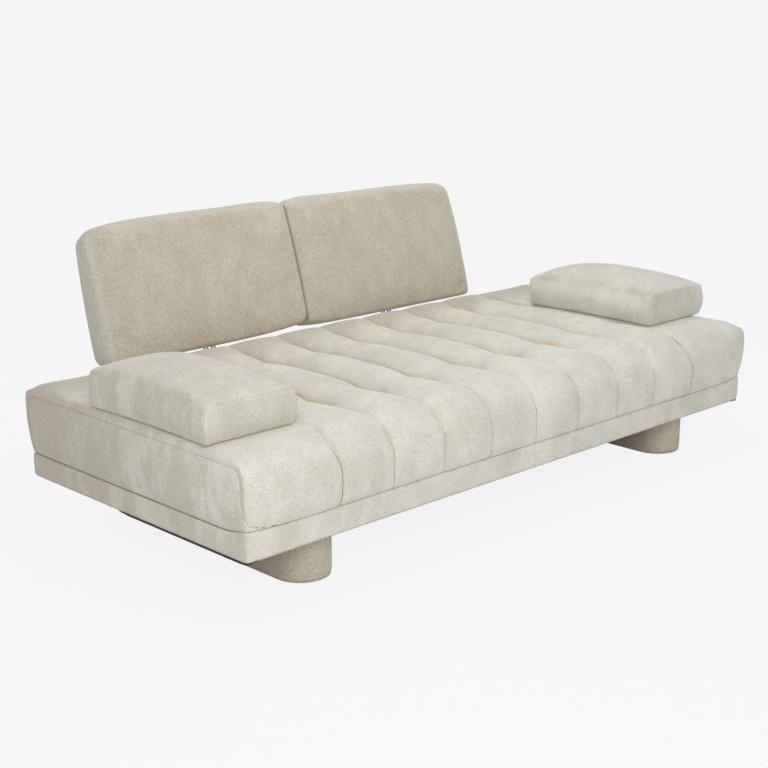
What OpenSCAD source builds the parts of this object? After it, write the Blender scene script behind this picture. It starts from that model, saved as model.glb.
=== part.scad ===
// Three-seater lounge sofa: channelled seat pad on a plain band, two oblong upholstered feet,
// two leaning back panels on plug-in chrome posts with a tilt hinge, and two loose arm cushions.
// X runs along the sofa, +Y points to the back, +Z is up, and the floor is at z = 0.

/* [Base] */
// Length of the upholstered base
base_l = 2200; // [2000:10:2500]
// Depth of the upholstered base, front to back
base_d = 988; // [900:2:1080]
// Height of the plain band around the frame
band_h = 80; // [74:1:96]
// Corner radius of the band in plan
band_corner_r = 20; // [14:1:36]
// Thickness of the padded fabric over the rails
band_cover_t = 8; // [5:1:11]
// Thickness of the outer rails
rail_t = 38; // [34:1:50]
// Width of the cross rails inside the frame
cross_rail_w = 45; // [35:1:60]
// Width of the flat rails that carry the feet
foot_rail_w = 120; // [90:5:150]
// Thickness of the flat rails that carry the feet
foot_rail_t = 45; // [34:1:56]
// Thickness of the deck board under the seat pad
deck_t = 12; // [9:1:16]
// Thickness of the cloth under the frame
dust_cover_t = 1.5; // [1:0.1:3]
// Leg length of the corner blocks
corner_block_w = 70; // [50:1:90]

/* [Seat pad] */
// Height of the pad at its plain ends
pad_h = 195; // [170:1:220]
// Extra height of the channels over the plain ends
pad_crown = 12; // [6:1:20]
// Dome of the pad's top from its front and rear edges to its middle
pad_dome = 6; // [2:1:12]
// How far the pad's sides stand proud of the band
pad_bulge = 11; // [5:1:14]
// How far the pad's lower edge is drawn in at the crease
pad_crease = 13; // [6:1:16]
// Radius of the pad's front edge along the channels
pad_front_r = 100; // [80:1:125]
// Radius of the pad's front edge at its plain ends
pad_end_front_r = 66; // [50:1:90]
// Radius of the pad's long rear edge
pad_rear_r = 60; // [50:1:90]
// Radius of the pad's short edges
pad_end_r = 30; // [20:1:40]
// Number of channels between the plain ends
channel_count = 8; // [6:1:10]
// Length of each plain end of the pad
plain_end_l = 312; // [290:2:340]
// Depth of the channel seams below the crests
seam_depth = 17; // [10:1:24]
// Extra depth where the seams are pulled down
pull_depth = 12; // [6:1:20]
// Distance from the front of the base to the front row of pulls
front_pull_inset = 280; // [260:5:320]
// Distance from the back of the base to the rear row of pulls
rear_pull_inset = 290; // [260:5:320]
// Half the width of a pull across the row
pull_w = 70; // [50:5:90]

/* [Feet] */
// Height of the base above the floor
foot_h = 143; // [120:1:170]
// Width of each oblong foot
foot_w = 164; // [140:2:190]
// Distance from the front and the back of the base to the ends of a foot
foot_inset = 50; // [40:2:110]
// Distance from the end of the base to the middle of a foot
foot_end_inset = 293; // [240:1:400]
// Thickness of the fabric cover of a foot
foot_cover_t = 5; // [3:1:8]
// Radius of the glides under the feet
glide_r = 15; // [10:1:20]
// Thickness of the glides under the feet
glide_t = 4; // [3:0.5:6]
// Radius of the bolts that hold the feet
foot_bolt_r = 5; // [4:0.5:6]
// Depth to which the foot bolts are sunk into the foot
foot_bolt_sink = 70; // [50:1:90]

/* [Back panels] */
// Distance from the end of the base to the outer end of a back panel
back_end_inset = 300; // [280:2:340]
// Height of a back panel along its lean
back_h = 438; // [390:1:480]
// Thickness of a back panel at its foot
back_t = 104; // [100:1:116]
// How much thinner a back panel is at its top
back_taper = 32; // [20:1:36]
// Lean of the back panels from upright, in degrees
back_lean = 17.5; // [14:0.1:22]
// Gap between the two back panels
back_gap = 4; // [2:0.5:10]
// Radius of the soft edges at the ends of a back panel
back_end_r = 20; // [12:1:26]
// Radius of the soft lower edges of a back panel
back_foot_r = 22; // [18:1:28]
// Radius of the rolled top edge of a back panel
back_top_r = 34; // [28:1:36]
// Drop of the top edge at the ends of a back panel
back_crown = 28; // [12:1:34]
// Swell of the front face of a back panel
back_swell = 14; // [6:1:18]
// Distance from the base to the lower front edge of a back panel
back_setback = 11; // [8:1:20]
// Height of that lower edge over the plain ends of the seat pad
back_rise = 9; // [6:1:30]
// Thickness of the board inside a back panel
back_board_t = 18; // [15:1:22]
// Distance from the foot of the front face to the middle of the board
back_core_t = 47; // [45:1:52]
// Distance from the edges of a back panel to its board
back_board_inset = 60; // [50:1:80]

/* [Back fittings] */
// Radius of the chrome posts
post_r = 8; // [7:0.5:9]
// Distance between the two posts of a back panel
post_pitch = 30; // [28:1:36]
// Distance from the base to the middle of the posts
post_stand = 24; // [22:1:30]
// Radius of the bend in the posts
post_bend_r = 55; // [40:1:70]
// Wall of the sleeves that take the posts
sleeve_wall = 4; // [3:0.5:6]
// Height of the sleeves
sleeve_h = 72; // [60:1:76]
// Thickness of the closed bottom of the sleeves
sleeve_floor_t = 4; // [3:0.5:6]
// Width of the plate behind the sleeves
socket_plate_w = 120; // [104:2:140]
// Height of the plate behind the sleeves
socket_plate_h = 64; // [54:1:70]
// Thickness of the plate behind the sleeves
socket_plate_t = 4; // [3:0.5:6]
// Radius of the bolts that hold the socket plates
socket_bolt_r = 4; // [3:0.5:5]
// Length of the bolts that hold the socket plates
socket_bolt_l = 44; // [36:1:50]
// Radius of the bar on top of the posts
crosshead_r = 14; // [13:0.5:16]
// Length of the bar on top of the posts
crosshead_l = 56; // [54:1:64]
// Height of the hinge pin above the bottom of a back panel
pin_u = 34; // [32:1:40]
// Radius of the hinge pin
pin_r = 6; // [5:0.5:6]
// Thickness of the friction washers beside the bar
washer_t = 2; // [1:0.5:3]
// Thickness of the plates of the hinge saddle
saddle_t = 4; // [3:0.5:6]
// Width of the hinge saddle
saddle_w = 120; // [104:2:140]
// Height of the saddle's flanges on the board
saddle_flange_h = 70; // [60:1:90]
// Radius of the bolts through the saddle
saddle_bolt_r = 3; // [2.5:0.5:4]

/* [Arm cushions] */
// Width of an arm cushion along the sofa
arm_w = 302; // [260:2:304]
// Length of an arm cushion, front to back
arm_l = 536; // [480:2:600]
// Height of an arm cushion at its edges
arm_h = 99; // [80:1:110]
// Rise of the long top edges of an arm cushion to their middle
arm_bow = 22; // [10:1:30]
// Dome of the top of an arm cushion between its edges
arm_dome = 32; // [15:1:40]
// Radius of the edges of an arm cushion
arm_edge_r = 20; // [14:1:28]
// How far the sides of an arm cushion are drawn in between its corners
arm_draw = 6; // [3:1:12]
// Distance from the end of the base to an arm cushion
arm_inset = -7; // [-8:1:16]
// Distance from the middle of the base forward to the middle of the left arm cushion
arm_shift_left = 90; // [0:1:120]
// Distance from the middle of the base forward to the middle of the right arm cushion
arm_shift_right = 42; // [0:1:120]

/* [Clearances] */
// Gap between a post or pin and its bore
running_gap = 0.05; // [0.03:0.01:0.1]
// Gap round a bolt in its hole
bolt_gap = 0.1; // [0.05:0.05:0.3]
// Gap between soft pieces and their neighbours
soft_gap = 0.3; // [0.3:0.1:1]
// Gap beside the moving parts of the hinge
hinge_gap = 0.1; // [0.05:0.05:0.3]

/* [Hidden] */
$fn = 48;
left = -1;
right = 1;

// Overrun of every cut past the faces that it opens
cut = 2;

fabric_color = "#cfc8ba";
back_fabric_color = "#c2b8a6";
foot_fabric_color = "#b9ad9b";
timber_color = "#c9a878";
steel_color = "#8d9094";
chrome_color = "#d9dcde";
black_color = "#2b2a29";

// Levels of the base
band_z = foot_h;
rail_z = band_z + dust_cover_t;
deck_z = band_z + band_h - deck_t;
pad_z = band_z + band_h;
pad_end_z = pad_z + pad_h;
arm_z = pad_end_z + soft_gap;
rail_h = deck_z - rail_z;
foot_l = base_d - 2 * foot_inset;
foot_mid_x = base_l / 2 - foot_end_inset;
frame_l = base_l - 2 * band_cover_t;
frame_d = base_d - 2 * band_cover_t;
frame_corner_r = band_corner_r - band_cover_t;
inner_l = frame_l - 2 * rail_t;
inner_d = frame_d - 2 * rail_t;

// Places of the back panels and their posts, from the middle of the base
back_l = base_l / 2 - back_end_inset - back_gap / 2;
back_mid_x = (back_l + back_gap) / 2;
back_y = base_d / 2 + back_setback;
back_z = pad_end_z + back_rise;
lean_sin = sin(back_lean);
lean_cos = cos(back_lean);
post_y = base_d / 2 + post_stand;
bend_u = (post_y - back_y - lean_cos * back_core_t) / lean_sin;
bend_z = back_z - lean_sin * back_core_t + lean_cos * bend_u;
bend_tangent = post_bend_r * tan(back_lean / 2);
socket_z = band_z + band_h / 2;
sleeve_z = socket_z - sleeve_h / 2;
post_seat_z = sleeve_z + sleeve_floor_t;
crosshead_wall = 1.5;
post_end_drop = pin_r + running_gap + crosshead_wall;
sleeve_r = post_r + running_gap + sleeve_wall;

// Heads and places of the foot bolts and the socket bolts
foot_bolt_y = foot_l / 4;
foot_head_r = 2 * foot_bolt_r;
foot_head_t = foot_bolt_r;
bolt_edge_share = 1.6;
socket_head_r = 2 * socket_bolt_r;
socket_head_t = socket_bolt_r;
socket_bolt_x = socket_plate_w / 2 - bolt_edge_share * socket_head_r;
socket_bolt_rise = socket_plate_h / 2 - bolt_edge_share * socket_head_r;

// Layout of the hinge, along a panel's own axes
cheek_x = crosshead_l / 2 + hinge_gap + washer_t;
saddle_web_u = pin_u + crosshead_r + saddle_t;
board_foot_u = 20;
saddle_top_u = saddle_web_u + saddle_t + saddle_flange_h;
board_front_t = back_core_t - back_board_t / 2;
board_rear_t = board_front_t + back_board_t;
pin_head_t = 3;
pin_head_r = 1.5 * pin_r;
pin_half_l = cheek_x + saddle_t + hinge_gap;
saddle_head_t = 4;
saddle_head_r = 2 * saddle_bolt_r;
saddle_bolt_x = saddle_w / 2 - 2 * saddle_head_r;
saddle_bolt_us = [
    saddle_web_u + saddle_t + 2 * saddle_head_r,
    saddle_top_u - 2 * saddle_head_r
];
pocket_t = saddle_t + saddle_head_t + saddle_bolt_r;
swing_room = 16;

// Soft forms: where the stations and the outline points lie
end_turns = [78, 52, 26, 0];
channel_zone = base_l - 2 * plain_end_l;
channel_pitch = channel_zone / channel_count;
station_shares = [0, 0.16, 0.5, 0.84];
plain_end_shares = [0.1, 0.62];
face_dip_share = 0.6;
crest_pull_share = 0.33;
end_dome_share = 0.25;
seam_sharpness = 1.6;
arc_step = 22.5;

// The origin is the middle of the sofa's footprint, so the base lies forward of it
front_reach = base_d / 2 + pad_bulge;
rear_reach = max([for (p = back_ring(0, 0)) back_y + lean_cos * p[1] + lean_sin * p[2]]);
mid_y = (front_reach - rear_reach) / 2;

// Middle of the base on the floor
module at_base() {
    translate([0, mid_y, 0]) children();
}

// A back panel's own frame: x along it, y through it from the front, z up its lean
module at_back(side) {
    at_base()
        translate([side * back_mid_x, back_y, back_z])
            rotate([-back_lean, 0, 0])
                children();
}

// Flat rectangle with rounded corners, round the origin
module rounded_rect(l, d, r) {
    square([l - 2 * r, d], center = true);
    square([l, d - 2 * r], center = true);
    for (sx = [-1, 1], sy = [-1, 1])
        translate([sx * (l / 2 - r), sy * (d / 2 - r)]) circle(r);
}

// Flat oblong with round ends, its length along Y
module oblong(w, l) {
    square([w, l - w], center = true);
    for (s = [-1, 1])
        translate([0, s * (l - w) / 2]) circle(w / 2);
}

// Closed skin through rings of points that follow each other along +X
module ring_skin(rings) {
    m = len(rings[0]);
    n = len(rings);
    points = concat(
        [for (ring = rings, p = ring) p],
        [ring_middle(rings[0]), ring_middle(rings[n - 1])]
    );
    sides = [
        for (i = [0 : n - 2], j = [0 : m - 1])
            let (a = i * m + j, d = i * m + (j + 1) % m)
                each [[a, d, d + m], [a, d + m, a + m]]
    ];
    first_cap = [for (j = [0 : m - 1]) [(j + 1) % m, j, n * m]];
    last_cap = [for (j = [0 : m - 1]) [(n - 1) * m + j, (n - 1) * m + (j + 1) % m, n * m + 1]];
    polyhedron(points = points, faces = concat(sides, first_cap, last_cap), convexity = 6);
}

function ring_middle(ring) =
    let (ys = [for (p = ring) p[1]], zs = [for (p = ring) p[2]])
        [ring[0][0], (min(ys) + max(ys)) / 2, (min(zs) + max(zs)) / 2];

// Bump that is 1 at a share of 0.5 and 0 at shares of 0 and 1
function bump(share) = 4 * share * (1 - share);

// Ring of a back panel at x, with its edges turned in by a depth
function back_ring(x, turn) =
    let (
        high = back_h - back_crown * pow(2 * x / back_l, 4) - back_top_r,
        low = back_foot_r,
        fr = back_foot_r - turn,
        tr = back_top_r - turn,
        rear = back_t - turn,
        front_shares = [0.2, 0.45, 0.72],
        rear_shares = [0.72, 0.45, 0.2]
    )
    concat(
        [for (a = [0 : 30 : 90]) [x, low - fr * sin(a), low - fr * cos(a)]],
        [for (s = front_shares) [x, turn - back_swell * bump(s), low + s * (high - low)]],
        [for (a = [0 : arc_step : 90]) [x, back_top_r - tr * cos(a), high + tr * sin(a)]],
        [for (a = [0 : arc_step : 90])
            [x, back_t - back_taper - back_top_r + tr * sin(a), high + tr * cos(a)]],
        [for (s = rear_shares) [x, rear - back_taper * s, low + s * (high - low)]],
        [for (a = [0 : 30 : 90]) [x, back_t - low + fr * cos(a), low - fr * sin(a)]]
    );

// Ring of an arm cushion at x along its length, with its edges turned in by a depth
function arm_ring(x, turn) =
    let (
        along = 1 - pow(2 * x / arm_l, 2),
        r = arm_edge_r - turn,
        half = arm_w / 2 - arm_draw * along - turn,
        top = arm_h + arm_bow * along - turn,
        dome = arm_dome * (end_dome_share + (1 - end_dome_share) * along),
        top_shares = [-0.66, -0.36, 0, 0.36, 0.66]
    )
    concat(
        [for (a = [0 : 30 : 90]) [x, -half + r - r * sin(a), turn + r - r * cos(a)]],
        [[x, -half - arm_draw / 2, arm_h / 2]],
        [for (a = [0 : 30 : 90]) [x, -half + r - r * cos(a), top - r + r * sin(a)]],
        [for (s = top_shares) [x, s * half, top + dome * (1 - s * s)]],
        [for (a = [0 : 30 : 90]) [x, half - r + r * sin(a), top - r + r * cos(a)]],
        [[x, half + arm_draw / 2, arm_h / 2]],
        [for (a = [0 : 30 : 90]) [x, half - r + r * cos(a), turn + r - r * sin(a)]]
    );

// How far a channel's surface lies below its crest, from 1 at a seam to 0 at the crest
function seam_share(x) =
    abs(x) >= channel_zone / 2 + channel_pitch * station_shares[1] / 2 ? 0 :
    let (phase = abs(x) / channel_pitch + (channel_count % 2) / 2)
        pow(1 - abs(sin(180 * phase)), seam_sharpness);

// Rows of pulls across the seams, from 1 at a row to 0 away from it
function pull_share(y) =
    let (
        a = (y + base_d / 2 - front_pull_inset) / pull_w,
        b = (base_d / 2 - rear_pull_inset - y) / pull_w
    )
        exp(-a * a) + exp(-b * b);

// Ring of the seat pad at x, with its edges turned in by a depth
function pad_ring(x, turn) =
    let (
        in_zone = abs(x) < channel_zone / 2,
        past = max(0, abs(x) - channel_zone / 2) / (base_l - channel_zone),
        edge_r = pad_front_r + (pad_end_front_r - pad_front_r) * min(1, 3 * past),
        h = pad_z + pad_h + (in_zone ? pad_crown : 0) - turn,
        half = base_d / 2 + pad_bulge - turn,
        reach = base_l / 2 + pad_bulge,
        dip = seam_depth * seam_share(x),
        fr = edge_r - turn,
        rr = pad_rear_r - turn,
        top_front = -half + fr,
        top_rear = half - rr,
        face_shares = [0, 0.25, 0.6, 1],
        top_shares = [0.14, 0.27, 0.38, 0.5, 0.62, 0.74, 0.84, 0.93],
        dome = in_zone ? pad_dome : 0,
        crest_pull = in_zone ? pull_depth * crest_pull_share : 0
    )
    concat(
        [for (s = face_shares)
            let (draw = pad_crease * pow(1 - s, 2))
                [x * (1 - draw / reach), -half + draw + dip * face_dip_share * sin(90 * s),
                    pad_z + s * (h - fr - pad_z)]],
        [for (a = [arc_step : arc_step : 90])
            [x, top_front - (fr - dip) * cos(a), h - fr + (fr - dip) * sin(a)]],
        [for (s = top_shares)
            let (y = top_front + s * (top_rear - top_front))
                [x, y, h + dome * bump(s) - dip
                    - pull_share(y) * (pull_depth * seam_share(x) + crest_pull)]],
        [for (a = [0 : arc_step : 90 - arc_step])
            [x, top_rear + (rr - dip) * sin(a), h - rr + (rr - dip) * cos(a)]],
        [for (s = [1, 0.5, 0])
            let (draw = pad_crease * pow(1 - s, 2))
                [x * (1 - draw / reach), half - draw - dip * face_dip_share * sin(90 * s),
                    pad_z + s * (h - rr - pad_z)]]
    );

function end_stations(half_l, r) =
    [for (a = end_turns) [half_l - r + r * sin(a), r * (1 - cos(a))]];

// Stations of a symmetric soft form: its turned ends and the given places between them
function stations(half_l, r, inner) =
    let (ends = end_stations(half_l, r), n = len(ends))
        concat(
            [for (e = ends) [-e[0], e[1]]],
            [for (x = inner) [x, 0]],
            [for (k = [n - 1 : -1 : 0]) ends[k]]
        );

module front_rail() {
    color(timber_color)
        at_base()
            translate([0, 0, rail_z])
                intersection() {
                    linear_extrude(rail_h) rounded_rect(frame_l, frame_d, frame_corner_r);
                    translate([-base_l / 2, -frame_d / 2 - cut, -cut])
                        cube([base_l, rail_t + cut, rail_h + 2 * cut]);
                }
}

module rear_rail() {
    color(timber_color)
        at_base()
            difference() {
                translate([0, 0, rail_z])
                    intersection() {
                        linear_extrude(rail_h) rounded_rect(frame_l, frame_d, frame_corner_r);
                        translate([-base_l / 2, frame_d / 2 - rail_t, -cut])
                            cube([base_l, rail_t + cut, rail_h + 2 * cut]);
                    }
                socket_bolt_shanks(bolt_gap);
            }
}

module side_rail(side) {
    color(timber_color)
        at_base()
            translate([side * (frame_l - rail_t) / 2, 0, rail_z + rail_h / 2])
                cube([rail_t, inner_d, rail_h], center = true);
}

module left_rail() {
    side_rail(left);
}

module right_rail() {
    side_rail(right);
}

module cross_rails() {
    color(timber_color)
        at_base()
            for (x = [-1, 0, 1] * back_mid_x)
                translate([x, 0, rail_z + rail_h / 2])
                    cube([cross_rail_w, inner_d, rail_h], center = true);
}

module foot_rail(side) {
    color(timber_color)
        at_base()
            difference() {
                translate([side * foot_mid_x, 0, rail_z + foot_rail_t / 2])
                    cube([foot_rail_w, inner_d, foot_rail_t], center = true);
                foot_bolt_shanks(bolt_gap);
            }
}

module foot_rail_left() {
    foot_rail(left);
}

module foot_rail_right() {
    foot_rail(right);
}

module corner_blocks() {
    color(timber_color)
        at_base()
            for (sx = [-1, 1], sy = [-1, 1])
                translate([sx * inner_l / 2, sy * inner_d / 2, rail_z])
                    linear_extrude(rail_h)
                        polygon([[0, 0], [-sx * corner_block_w, 0], [0, -sy * corner_block_w]]);
}

module deck_board() {
    color(timber_color)
        at_base()
            translate([0, 0, deck_z])
                linear_extrude(deck_t) rounded_rect(frame_l, frame_d, frame_corner_r);
}

// Thin black cloth under the frame; the feet are bolted on through it
module dust_cover() {
    color(black_color)
        at_base()
            difference() {
                translate([0, 0, band_z])
                    linear_extrude(dust_cover_t) rounded_rect(frame_l, frame_d, frame_corner_r);
                foot_bolt_shanks(bolt_gap);
            }
}

module band_cover() {
    color(fabric_color)
        at_base()
            difference() {
                translate([0, 0, band_z])
                    linear_extrude(band_h) rounded_rect(base_l, base_d, band_corner_r);
                translate([0, 0, band_z - cut])
                    linear_extrude(band_h + 2 * cut)
                        rounded_rect(frame_l, frame_d, frame_corner_r);
                socket_bolt_shanks(bolt_gap);
            }
}

module seat_pad() {
    first = -channel_zone / 2;
    plain = base_l / 2 - pad_end_r - channel_zone / 2;
    plain_xs = [for (s = plain_end_shares) channel_zone / 2 + s * plain];
    seams = [
        for (k = [0 : channel_count - 1], s = station_shares)
            if (k > 0 || s > 0)
                first + (k + s) * channel_pitch
    ];
    inner = concat(
        [-plain_xs[1], -plain_xs[0], first],
        seams,
        [channel_zone / 2, plain_xs[0], plain_xs[1]]
    );
    color(fabric_color)
        at_base()
            ring_skin([
                for (s = stations(base_l / 2 + pad_bulge, pad_end_r, inner))
                    pad_ring(s[0], s[1])
            ]);
}

module foot_core(side) {
    color(timber_color)
        at_base()
            difference() {
                translate([side * foot_mid_x, 0, glide_t])
                    linear_extrude(foot_h - glide_t)
                        oblong(foot_w - 2 * foot_cover_t, foot_l - 2 * foot_cover_t);
                foot_bolt_shanks(bolt_gap);
                for (s = [-1, 1])
                    translate([side * foot_mid_x, s * foot_bolt_y, glide_t - cut])
                        cylinder(r = foot_head_r + foot_bolt_r, h = foot_bolt_sink + cut);
            }
}

module foot_core_left() {
    foot_core(left);
}

module foot_core_right() {
    foot_core(right);
}

module foot_cover(side) {
    color(foot_fabric_color)
        at_base()
            translate([side * foot_mid_x, 0, glide_t])
                difference() {
                    linear_extrude(foot_h - glide_t) oblong(foot_w, foot_l);
                    translate([0, 0, -cut])
                        linear_extrude(foot_h + cut)
                            oblong(foot_w - 2 * foot_cover_t, foot_l - 2 * foot_cover_t);
                }
}

module foot_cover_left() {
    foot_cover(left);
}

module foot_cover_right() {
    foot_cover(right);
}

module foot_glides() {
    reach = (foot_l - foot_w) / 2;
    color(black_color)
        at_base()
            for (side = [left, right], s = [-1, 0, 1])
                translate([side * foot_mid_x, s * reach, 0])
                    cylinder(r = glide_r, h = glide_t);
}

// Shanks of the four foot bolts, or their holes when a gap is given
module foot_bolt_shanks(gap) {
    head_z = glide_t + foot_bolt_sink;
    over = gap > 0 ? cut : 0;
    for (side = [left, right], s = [-1, 1])
        translate([side * foot_mid_x, s * foot_bolt_y, head_z - over])
            cylinder(r = foot_bolt_r + gap, h = rail_z + foot_rail_t - head_z + 2 * over);
}

module foot_bolts() {
    color(steel_color)
        at_base() {
            foot_bolt_shanks(0);
            for (side = [left, right], s = [-1, 1])
                translate([side * foot_mid_x, s * foot_bolt_y, glide_t + foot_bolt_sink - foot_head_t])
                    cylinder(r = foot_head_r, h = foot_head_t);
        }
}

// Shanks of the socket bolts, or their holes when a gap is given
module socket_bolt_shanks(gap) {
    plate_back_y = base_d / 2 + socket_plate_t;
    over = gap > 0 ? cut : 0;
    for (side = [left, right], sx = [-1, 1], sz = [-1, 1])
        translate([
            side * back_mid_x + sx * socket_bolt_x,
            plate_back_y + over,
            socket_z + sz * socket_bolt_rise
        ])
            rotate([90, 0, 0])
                cylinder(r = socket_bolt_r + gap, h = socket_bolt_l + 2 * over);
}

module socket(side) {
    web_x = post_pitch + sleeve_r;
    color(steel_color)
        at_base()
            difference() {
                union() {
                    translate([
                        side * back_mid_x - socket_plate_w / 2,
                        base_d / 2,
                        socket_z - socket_plate_h / 2
                    ])
                        cube([socket_plate_w, socket_plate_t, socket_plate_h]);
                    translate([side * back_mid_x - web_x / 2, base_d / 2, sleeve_z])
                        cube([web_x, post_stand, sleeve_h]);
                    for (s = [-1, 1])
                        translate([side * back_mid_x + s * post_pitch / 2, post_y, sleeve_z])
                            cylinder(r = sleeve_r, h = sleeve_h);
                }
                for (s = [-1, 1])
                    translate([side * back_mid_x + s * post_pitch / 2, post_y, post_seat_z])
                        cylinder(r = post_r + running_gap, h = sleeve_h);
                socket_bolt_shanks(bolt_gap);
            }
}

module socket_left() {
    socket(left);
}

module socket_right() {
    socket(right);
}

module socket_bolts() {
    color(chrome_color)
        at_base() {
            socket_bolt_shanks(0);
            for (side = [left, right], sx = [-1, 1], sz = [-1, 1])
                translate([
                    side * back_mid_x + sx * socket_bolt_x,
                    base_d / 2 + socket_plate_t,
                    socket_z + sz * socket_bolt_rise
                ])
                    rotate([-90, 0, 0])
                        cylinder(r = socket_head_r, h = socket_head_t);
        }
}

// One chrome post: upright in its sleeve, then bent back to the lean of the panel
module post(side, s) {
    start_z = bend_z - bend_tangent;
    at_base()
        translate([side * back_mid_x + s * post_pitch / 2, post_y, 0]) {
            translate([0, 0, post_seat_z]) cylinder(r = post_r, h = start_z - post_seat_z);
            translate([0, post_bend_r, start_z]) {
                rotate([90, 0, -90])
                    rotate_extrude(angle = back_lean)
                        translate([post_bend_r, 0]) circle(post_r);
                rotate([-back_lean, 0, 0])
                    translate([0, -post_bend_r, 0])
                        cylinder(r = post_r, h = pin_u - bend_u - bend_tangent - post_end_drop);
            }
        }
}

module posts(side) {
    color(chrome_color)
        for (s = [-1, 1]) post(side, s);
}

module posts_left() {
    posts(left);
}

module posts_right() {
    posts(right);
}

// Bar that joins the heads of the two posts and turns on the pin
module crosshead(side) {
    color(steel_color)
        at_back(side)
            difference() {
                translate([-crosshead_l / 2, back_core_t, pin_u])
                    rotate([0, 90, 0]) cylinder(r = crosshead_r, h = crosshead_l);
                translate([-crosshead_l / 2 - cut, back_core_t, pin_u])
                    rotate([0, 90, 0]) cylinder(r = pin_r + running_gap, h = crosshead_l + 2 * cut);
                for (s = [-1, 1])
                    translate([s * post_pitch / 2, back_core_t, pin_u - crosshead_r - cut])
                        cylinder(r = post_r + running_gap, h = crosshead_r + cut - post_end_drop);
            }
}

module crosshead_left() {
    crosshead(left);
}

module crosshead_right() {
    crosshead(right);
}

module hinge_pin(side) {
    color(steel_color)
        at_back(side)
            translate([-pin_half_l, back_core_t, pin_u])
                rotate([0, 90, 0]) {
                    cylinder(r = pin_r, h = 2 * pin_half_l);
                    translate([0, 0, -pin_head_t]) cylinder(r = pin_head_r, h = pin_head_t);
                    translate([0, 0, 2 * pin_half_l]) cylinder(r = pin_head_r, h = pin_head_t);
                }
}

module hinge_pin_left() {
    hinge_pin(left);
}

module hinge_pin_right() {
    hinge_pin(right);
}

module friction_washers(side) {
    color(black_color)
        at_back(side)
            for (s = [-1, 1])
                translate([s * (cheek_x - washer_t / 2), back_core_t, pin_u])
                    rotate([0, 90, 0])
                        difference() {
                            cylinder(r = crosshead_r, h = washer_t, center = true);
                            cylinder(r = pin_r + running_gap, h = washer_t + cut, center = true);
                        }
}

module friction_washers_left() {
    friction_washers(left);
}

module friction_washers_right() {
    friction_washers(right);
}

// Shanks of the saddle bolts, or their holes when a gap is given
module saddle_bolt_shanks(gap) {
    over = gap > 0 ? cut : 0;
    reach = back_board_t + 2 * saddle_t;
    for (s = [-1, 1], u = saddle_bolt_us)
        translate([s * saddle_bolt_x, board_front_t - saddle_t - over, u])
            rotate([-90, 0, 0])
                cylinder(r = saddle_bolt_r + gap, h = reach + 2 * over);
}

// Bracket that straddles the board and carries the pin in two cheeks
module saddle(side) {
    cheek_u = pin_u - crosshead_r;
    span = back_board_t + 2 * saddle_t;
    color(steel_color)
        at_back(side)
            difference() {
                union() {
                    translate([-saddle_w / 2, board_front_t - saddle_t, saddle_web_u])
                        cube([saddle_w, span, saddle_t]);
                    for (t = [board_front_t - saddle_t, board_rear_t])
                        translate([-saddle_w / 2, t, saddle_web_u])
                            cube([saddle_w, saddle_t, saddle_t + saddle_flange_h]);
                    for (x = [-cheek_x - saddle_t, cheek_x])
                        translate([x, board_front_t - saddle_t, cheek_u])
                            cube([saddle_t, span, saddle_web_u + saddle_t - cheek_u]);
                }
                translate([-pin_half_l - cut, back_core_t, pin_u])
                    rotate([0, 90, 0])
                        cylinder(r = pin_r + running_gap, h = 2 * pin_half_l + 2 * cut);
                saddle_bolt_shanks(bolt_gap);
            }
}

module saddle_left() {
    saddle(left);
}

module saddle_right() {
    saddle(right);
}

module saddle_bolts(side) {
    color(steel_color)
        at_back(side) {
            saddle_bolt_shanks(0);
            for (s = [-1, 1], u = saddle_bolt_us) {
                translate([s * saddle_bolt_x, board_front_t - saddle_t, u])
                    rotate([90, 0, 0]) cylinder(r = saddle_head_r, h = saddle_head_t);
                translate([s * saddle_bolt_x, board_rear_t + saddle_t, u])
                    rotate([-90, 0, 0]) cylinder(r = saddle_head_r, h = saddle_head_t);
            }
        }
}

module saddle_bolts_left() {
    saddle_bolts(left);
}

module saddle_bolts_right() {
    saddle_bolts(right);
}

// Board inside a back panel, notched where the hinge sits
module back_board(side) {
    board_w = back_l - 2 * back_board_inset;
    color(timber_color)
        at_back(side)
            difference() {
                translate([-board_w / 2, board_front_t, board_foot_u])
                    cube([board_w, back_board_t, back_h - back_board_inset - board_foot_u]);
                translate([-saddle_w / 2, board_front_t - cut, board_foot_u - cut])
                    cube([
                        saddle_w,
                        back_board_t + 2 * cut,
                        saddle_web_u + saddle_t - board_foot_u + cut
                    ]);
                saddle_bolt_shanks(bolt_gap);
            }
}

module back_board_left() {
    back_board(left);
}

module back_board_right() {
    back_board(right);
}

// Padding and cover of a back panel, hollow round the board and the hinge
module back_pad(side) {
    board_w = back_l - 2 * back_board_inset;
    pocket_w = saddle_w;
    mouth_w = post_pitch + 2 * post_r + swing_room / 2;
    inner = [for (s = [-0.6, -0.25, 0, 0.25, 0.6]) s * back_l / 2];
    color(back_fabric_color)
        at_back(side)
            difference() {
                ring_skin([
                    for (s = stations(back_l / 2, back_end_r, inner))
                        back_ring(s[0], s[1])
                ]);
                translate([-board_w / 2, board_front_t, board_foot_u])
                    cube([board_w, back_board_t, back_h - back_board_inset - board_foot_u]);
                translate([-pocket_w / 2, board_front_t - pocket_t, board_foot_u - saddle_t])
                    cube([
                        pocket_w,
                        back_board_t + 2 * pocket_t,
                        saddle_top_u + 2 * saddle_t - board_foot_u
                    ]);
                translate([-mouth_w / 2, back_core_t - post_r - saddle_t, -cut])
                    cube([mouth_w, 2 * post_r + saddle_t + swing_room, cut + board_foot_u]);
            }
}

module back_pad_left() {
    back_pad(left);
}

module back_pad_right() {
    back_pad(right);
}

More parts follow.
